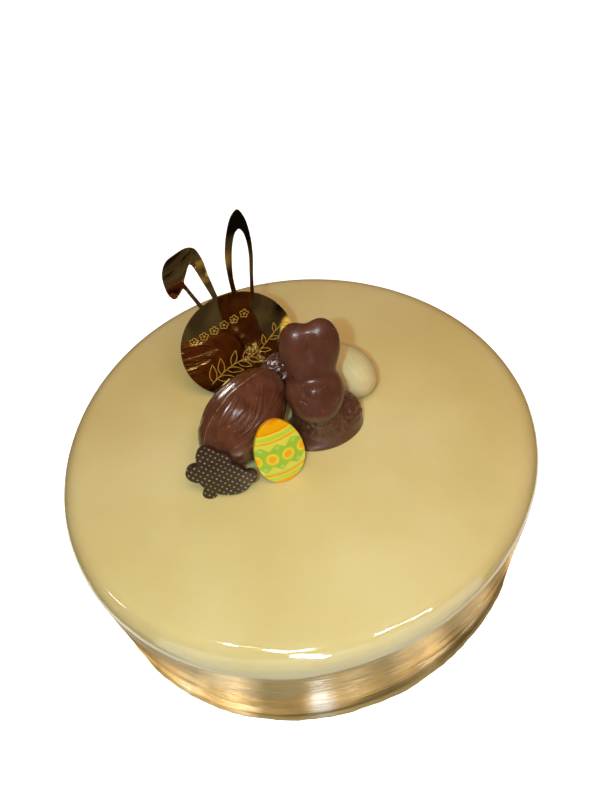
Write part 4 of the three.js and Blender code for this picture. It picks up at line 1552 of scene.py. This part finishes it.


# The glowing gold reflector's radius and its rings from the middle out, in millimetres: where the painted
# shade at its foot ends, where its creases fade out, and where the painted reflection of the pale wall
# begins in it.
REFLECTOR = {"radius": 170, "foot": (93.2, 93.6), "creased": (98, 105), "wall": (112.5, 119)}
REFLECTOR_LIFT = 0.2 * MM
# How bright the painted reflections of a ceiling on the smooth part and of the wall are, and how far back
# the wall shows.
REFLECTOR_SMOOTH = 0.7
REFLECTOR_WALL = {"strength": 2.0, "fades": (20, 75)}
# The lamp's painted glare in it, and its painted golden highlights: middle across and up, radius, softness
# and how much brighter it is.
REFLECTOR_PAINTED_GLARE = {"place": (-4, -96, 0), "reach": 10, "gain": 2.2}
REFLECTOR_PAINTED_HIGHLIGHTS = ((-44, -92, 10, 7, 3.0), (42, -90, 11, 6, 2.5))


def reflector_glow(add):
    """Creased gold reflector cloth as a glowing sheet: painted highlights along its creases and the lamp's
    painted glare in front of the cake.
    """
    place = piece_coordinates(add)
    x, y, _ = add("SeparateXYZ", {"Vector": place}).outputs
    around = add("Math", {0: y, 1: x}, operation="ARCTAN2")
    outwards = add("VectorMath", {0: place}, operation="LENGTH")
    rolled = add("CombineXYZ", {"X": around, "Y": outwards})
    # Creases run round the cake: about 30 mm long and 2 mm wide, brighter along them as painted highlights.
    marks = add("Mapping", {"Vector": rolled, "Scale": (3, 0.55, 1)})
    grain = add("TexNoise", {"Vector": marks, "Scale": 1.0, "Detail": 4.0, "Roughness": 0.6})
    creased = add(
        "MapRange", {"Value": grain, "From Min": 0.4, "From Max": 0.68, "To Min": 0.35, "To Max": 2.2}
    )
    patches = add("TexNoise", {"Vector": place, "Scale": 1 / 24, "Detail": 1.0})
    broad = add(
        "MapRange", {"Value": patches, "From Min": 0.4, "From Max": 0.62, "To Min": 0.6, "To Max": 1.4}
    )
    shine = add("Math", {0: creased, 1: broad}, operation="MULTIPLY")
    # Further out the cloth lies smooth and shows a painted reflection of a grey ceiling.
    low, high = REFLECTOR["creased"]
    far = add("MapRange", {"Value": outwards, "From Min": low, "From Max": high})
    shine = add("Mix", {0: far, 2: shine, 3: REFLECTOR_SMOOTH})
    # Painted golden highlights where the lamp would shine on it.
    for across, up, radius, softness, gain in REFLECTOR_PAINTED_HIGHLIGHTS:
        painted_gold_highlight = spot_mask(add, x, y, across, up, radius, softness)
        painted_gold_highlight = add("Math", {0: painted_gold_highlight, 1: gain, 2: 1.0}, operation="MULTIPLY_ADD")
        shine = add("Math", {0: shine, 1: painted_gold_highlight}, operation="MULTIPLY")
    # Further still it shows a painted reflection of the pale wall, which stands only in front and at the
    # sides.
    low, high = REFLECTOR["wall"]
    wall = add("MapRange", {"Value": outwards, "From Min": low, "From Max": high})
    low, high = REFLECTOR_WALL["fades"]
    ahead = add("MapRange", {"Value": y, "From Min": low, "From Max": high, **FALLING})
    wall = add("Math", {0: wall, 1: ahead}, operation="MULTIPLY")
    shine = add("Mix", {0: wall, 2: shine, 3: REFLECTOR_WALL["strength"]})
    # The lamp's painted glare, in front of the cake.
    to_glare = add("VectorMath", {0: place, 1: REFLECTOR_PAINTED_GLARE["place"]}, operation="DISTANCE")
    reach, gain = REFLECTOR_PAINTED_GLARE["reach"], REFLECTOR_PAINTED_GLARE["gain"]
    painted_glare = add(
        "MapRange", {"Value": to_glare, "From Min": 0, "From Max": reach, "To Min": gain, "To Max": 0.0},
        interpolation_type="SMOOTHSTEP",
    )
    strength = add("Math", {0: shine, 1: painted_glare, 2: shine}, operation="MULTIPLY_ADD")
    # Painted shade right at the foot, where the cake's own edge would keep it dark.
    low, high = REFLECTOR["foot"]
    painted_foot_shade = add("MapRange", {"Value": outwards, "From Min": low, "From Max": high, "To Min": 0.15})
    strength = add("Math", {0: strength, 1: painted_foot_shade}, operation="MULTIPLY")
    tone = add("ValToRGB", {"Fac": grain})
    set_stops(tone, (0.4, linear("#A87F4C")), (0.55, linear("#F2C272")), (0.72, linear("#FFF0CC")))
    # The painted glare and the painted reflections of the ceiling and the wall are paler.
    white = add("MapRange", {"Value": painted_glare, "From Min": 0.3, "From Max": 2.0})
    colour = tone
    for share, shade in ((far, "#E2CDA6"), (wall, "#EDEEDF"), (white, "#FFF8EA")):
        colour = add("Mix", {0: share, 6: colour, 7: linear(shade)}, data_type="RGBA")
    return colour, strength


def add_reflector():
    """A flat gold reflector round the cake's foot, which only glossy skins see, glowing with painted
    reflections and glare.
    """
    bpy.ops.mesh.primitive_circle_add(vertices=96, radius=REFLECTOR["radius"] * MM, fill_type="NGON")
    reflector = bpy.context.object
    reflector.data.transform(Matrix.Translation((0, 0, REFLECTOR_LIFT)))
    reflector.name = "reflector"
    reflector.data.materials.append(glow_material("gold_reflector_painted_reflections", reflector_glow))
    show_to(reflector, glints=True)


# A dim glowing card in front of the cake, which only the mirrored topper and the gloss see: a painted
# reflection of the room.
CARD = {"left": -200, "right": 400, "top": 230, "front": -140, "black_from": (148, 158)}
CARD_BLACK = linear("#0D0C0E")
# Its spots of painted shade and of painted highlights and reflections: middle across and up, radius and
# softness in mm, and colour.
CARD_PAINTED_SPOTS = (
    (34, 84, 16, 8, CARD_BLACK), (112, 119, 9, 6, CARD_BLACK), (90, 122, 8, 5, CARD_BLACK),
    (168, 71, 9, 6, CARD_BLACK), (140, 150, 14, 9, CARD_BLACK), (173, 46, 10, 2, linear("#EEE08A")),
    (72, 57, 9, 6, linear("#8C7C58")), (107, 137, 5, 4, linear("#857650")),
    (82, 45, 3, 2, linear("#E8DCC0")),
)


def card_glow(add):
    """Olive backdrop cloth in dim light, as a glowing sheet: painted shade in its folds and spots, painted
    highlights and reflections in light spots, and black above.
    """
    place = piece_coordinates(add)
    x, _, z = add("SeparateXYZ", {"Vector": place}).outputs
    # Painted shade in the cloth's folds.
    folds = add("TexNoise", {"Vector": place, "Scale": 1 / 26, "Detail": 1.0})
    colour = add("ValToRGB", {"Fac": folds})
    set_stops(colour, (0.35, linear("#3A342F")), (0.65, linear("#4E4840")))
    # Spots of painted shade, and of painted highlights and reflections.
    for across, up, radius, softness, shade in CARD_PAINTED_SPOTS:
        mask = spot_mask(add, x, z, across, up, radius, softness)
        colour = add("Mix", {0: mask, 6: colour, 7: shade}, data_type="RGBA")
    low, high = CARD["black_from"]
    above = add("MapRange", {"Value": z, "From Min": low, "From Max": high})
    return add("Mix", {0: above, 6: colour, 7: CARD_BLACK}, data_type="RGBA"), 1.0


def add_card():
    width, top = CARD["right"] - CARD["left"], CARD["top"]
    middle = Vector(((CARD["right"] + CARD["left"]) / 2, CARD["front"], top / 2)) * MM
    bpy.ops.mesh.primitive_plane_add(size=1, location=middle, rotation=(math.pi / 2, 0, 0))
    card = bpy.context.object
    card.scale = (width * MM, top * MM, 1)
    bpy.ops.object.transform_apply(location=True, rotation=True, scale=True)
    card.name = "card"
    card.data.materials.append(glow_material("olive_cloth_painted_reflection", card_glow))
    show_to(card, glints=True)


def pieces_named(group_name, names):
    """A group of finished pieces, for a lamp that lights only them."""
    group = bpy.data.collections.new(group_name)
    for name in names:
        group.objects.link(bpy.data.objects[name])
    return group


def glint_only(lamp, group):
    """Lets a lamp show in glossy skins alone, and only in a group's."""
    lamp.visible_diffuse = False
    lamp.visible_transmission = False
    lamp.light_linking.receiver_collection = group


def add_strip(name, start, end, width, brightness, group):
    """A strip of light between two places in millimetres, which faces the cake's middle."""
    start, end = Vector(start) * MM, Vector(end) * MM
    middle = (start + end) / 2
    strip = add_lamp(name, middle, (0, 0, CAKE_TOP), (end - start).length, 1.0, STRIP_COLOUR)
    along = (end - start).normalized()
    backwards = (middle - Vector((0, 0, CAKE_TOP))).normalized()
    beside = backwards.cross(along).normalized()
    strip.rotation_euler = Matrix((along, beside, along.cross(beside))).transposed().to_euler()
    strip.data.shape = "RECTANGLE"
    strip.data.size_y = width * MM
    strip.data.energy = brightness * math.pi * strip.data.size * strip.data.size_y
    glint_only(strip, group)
    return strip


def add_glints(key_place, settings):
    """What the glossy skins mirror: the lamp, the window, and strips along the glaze's rim."""
    cake = pieces_named("mirrors_the_window", ["glazed_cake"])
    for index, (start, end, width, brightness) in enumerate(RIM_GLINTS):
        add_strip(f"rim_glint_{index + 1}", start, end, width, brightness, cake)
    middle, half = Vector(WINDOW["place"]), Vector((WINDOW["width"] / 2, 0, 0))
    window = add_strip("window", middle - half, middle + half, WINDOW["height"], WINDOW["brightness"], cake)
    window.data.color = WINDOW_COLOUR
    others = [piece.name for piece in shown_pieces() if piece.name != "milk_chocolate_egg_shell"]
    glint = add_lamp("key_glint", key_place, (0, 0, CAKE_TOP), KEY_SIZE, settings.key_power, GLINT_COLOUR)
    glint_only(glint, pieces_named("mirrors_the_key", others))
    place, size = EGG_GLINT["place"], EGG_GLINT["size"] * MM
    glint = add_lamp("egg_glint", place, (0, 0, CAKE_TOP), size, 1.0, GLINT_COLOUR)
    glint.data.energy = EGG_GLINT["brightness"] * math.pi**2 * (size / 2) ** 2
    glint_only(glint, pieces_named("mirrors_the_egg_glint", ["milk_chocolate_egg_shell"]))
    for name, start, end, width, brightness in BACK_GLINTS:
        group = pieces_named(f"{name}_back_glint", [name])
        strip = add_strip(f"{name}_glint", start, end, width, brightness, group)
        strip.light_linking.blocker_collection = group


def add_mirrored_key(settings, key_place):
    """The key lamp's light as the mirrored disc throws it back on the decorations behind."""
    topper = bpy.context.scene.entremet_topper
    place = topper_place(topper)
    normal = (place.to_3x3() @ Vector((-FILM_SLOPE[0], -FILM_SLOPE[1], 1))).normalized()
    centre = place @ Vector((0, 0, topper.thickness / 2))
    behind = key_place - 2 * (key_place - centre).dot(normal) * normal
    towards = centre - behind
    bpy.ops.object.light_add(type="SPOT", location=behind)
    lamp = bpy.context.object
    lamp.name = "mirrored_key"
    lamp.data.shadow_soft_size = KEY_SIZE / 2
    lamp.data.spot_size = 2 * math.atan(topper.disc_radius / towards.length)
    lamp.data.spot_blend = MIRRORED_BLEND
    lamp.data.energy = settings.mirrored_power
    lamp.data.color = MIRRORED_COLOUR
    lamp.rotation_euler = towards.to_track_quat("-Z", "Y").to_euler()
    lit = pieces_named("lit_by_the_mirror", MIRROR_LIT)
    lamp.light_linking.receiver_collection = lit
    lamp.light_linking.blocker_collection = lit


def add_world():
    world = bpy.data.worlds.new("studio")
    world.use_nodes = True
    background = world.node_tree.nodes["Background"]
    background.inputs["Color"].default_value = WORLD_COLOUR
    background.inputs["Strength"].default_value = WORLD_STRENGTH
    bpy.context.scene.world = world
    bpy.context.scene.view_settings.view_transform = "Standard"


class ENTREMET_OT_stage(bpy.types.Operator):
    """Set up the camera, the pale floor, the lamps, the reflector and the dim card"""

    bl_idname = "entremet.stage"
    bl_label = "Stage"

    def execute(self, context):
        settings = context.scene.entremet_stage
        start_piece()
        add_camera()
        add_floor(settings)
        add_card()
        add_reflector()
        right, _, _ = camera_axes()
        middle = (0, 0, CAKE_TOP)
        key_place = CAMERA_PLACE - right * KEY_ASIDE
        add_mirrored_key(settings, key_place)
        add_glints(key_place, settings)
        key = add_lamp("key", key_place, middle, KEY_SIZE, settings.key_power, KEY_COLOUR)
        key.visible_glossy = False
        fill = add_lamp("fill", FILL_PLACE, middle, FILL_SIZE, settings.fill_power, FILL_COLOUR)
        fill.visible_glossy = False
        add_world()
        return {"FINISHED"}


# ---- Panel and registration ------------------------------------------------------------------

SETTINGS = {
    "entremet_cake": CakeSettings,
    "entremet_topper": TopperSettings,
    "entremet_milk_egg": MilkEggSettings,
    "entremet_bunny": BunnySettings,
    "entremet_small_egg": SmallEggSettings,
    "entremet_white_egg": WhiteEggSettings,
    "entremet_printed_plaque": PrintedPlaqueSettings,
    "entremet_dotted_plaque": DottedPlaqueSettings,
    "entremet_stage": StageSettings,
}
OPERATORS = (
    ENTREMET_OT_cake,
    ENTREMET_OT_topper,
    ENTREMET_OT_ornament,
    ENTREMET_OT_milk_egg,
    ENTREMET_OT_bunny,
    ENTREMET_OT_small_egg,
    ENTREMET_OT_white_egg,
    ENTREMET_OT_printed_plaque,
    ENTREMET_OT_dotted_plaque,
    ENTREMET_OT_stage,
)


class ENTREMET_PT_sidebar(bpy.types.Panel):
    """Lists the entremet's pieces in the 3D view's sidebar"""

    bl_idname = "ENTREMET_PT_sidebar"
    bl_label = "Entremet"
    bl_space_type = "VIEW_3D"
    bl_region_type = "UI"
    bl_category = "Entremet"

    def draw(self, context):
        for operator in OPERATORS:
            self.layout.operator(operator.bl_idname)
        for name in SETTINGS:
            box = self.layout.box()
            for key in getattr(context.scene, name).bl_rna.properties.keys():
                if key not in ("rna_type", "name"):
                    box.prop(getattr(context.scene, name), key)


def register():
    for name, group in SETTINGS.items():
        bpy.utils.register_class(group)
        setattr(bpy.types.Scene, name, PointerProperty(type=group))
    for made in (*OPERATORS, ENTREMET_PT_sidebar):
        bpy.utils.register_class(made)


def unregister():
    for made in reversed((*OPERATORS, ENTREMET_PT_sidebar)):
        bpy.utils.unregister_class(made)
    for name, group in SETTINGS.items():
        delattr(bpy.types.Scene, name)
        bpy.utils.unregister_class(group)


def main():
    register()
    bpy.ops.entremet.cake()
    bpy.ops.entremet.topper()
    bpy.ops.entremet.ornament()
    bpy.ops.entremet.milk_egg()
    bpy.ops.entremet.bunny()
    bpy.ops.entremet.small_egg()
    bpy.ops.entremet.white_egg()
    bpy.ops.entremet.printed_plaque()
    bpy.ops.entremet.dotted_plaque()
    bpy.ops.entremet.stage()


if __name__ == "__main__":
    main()
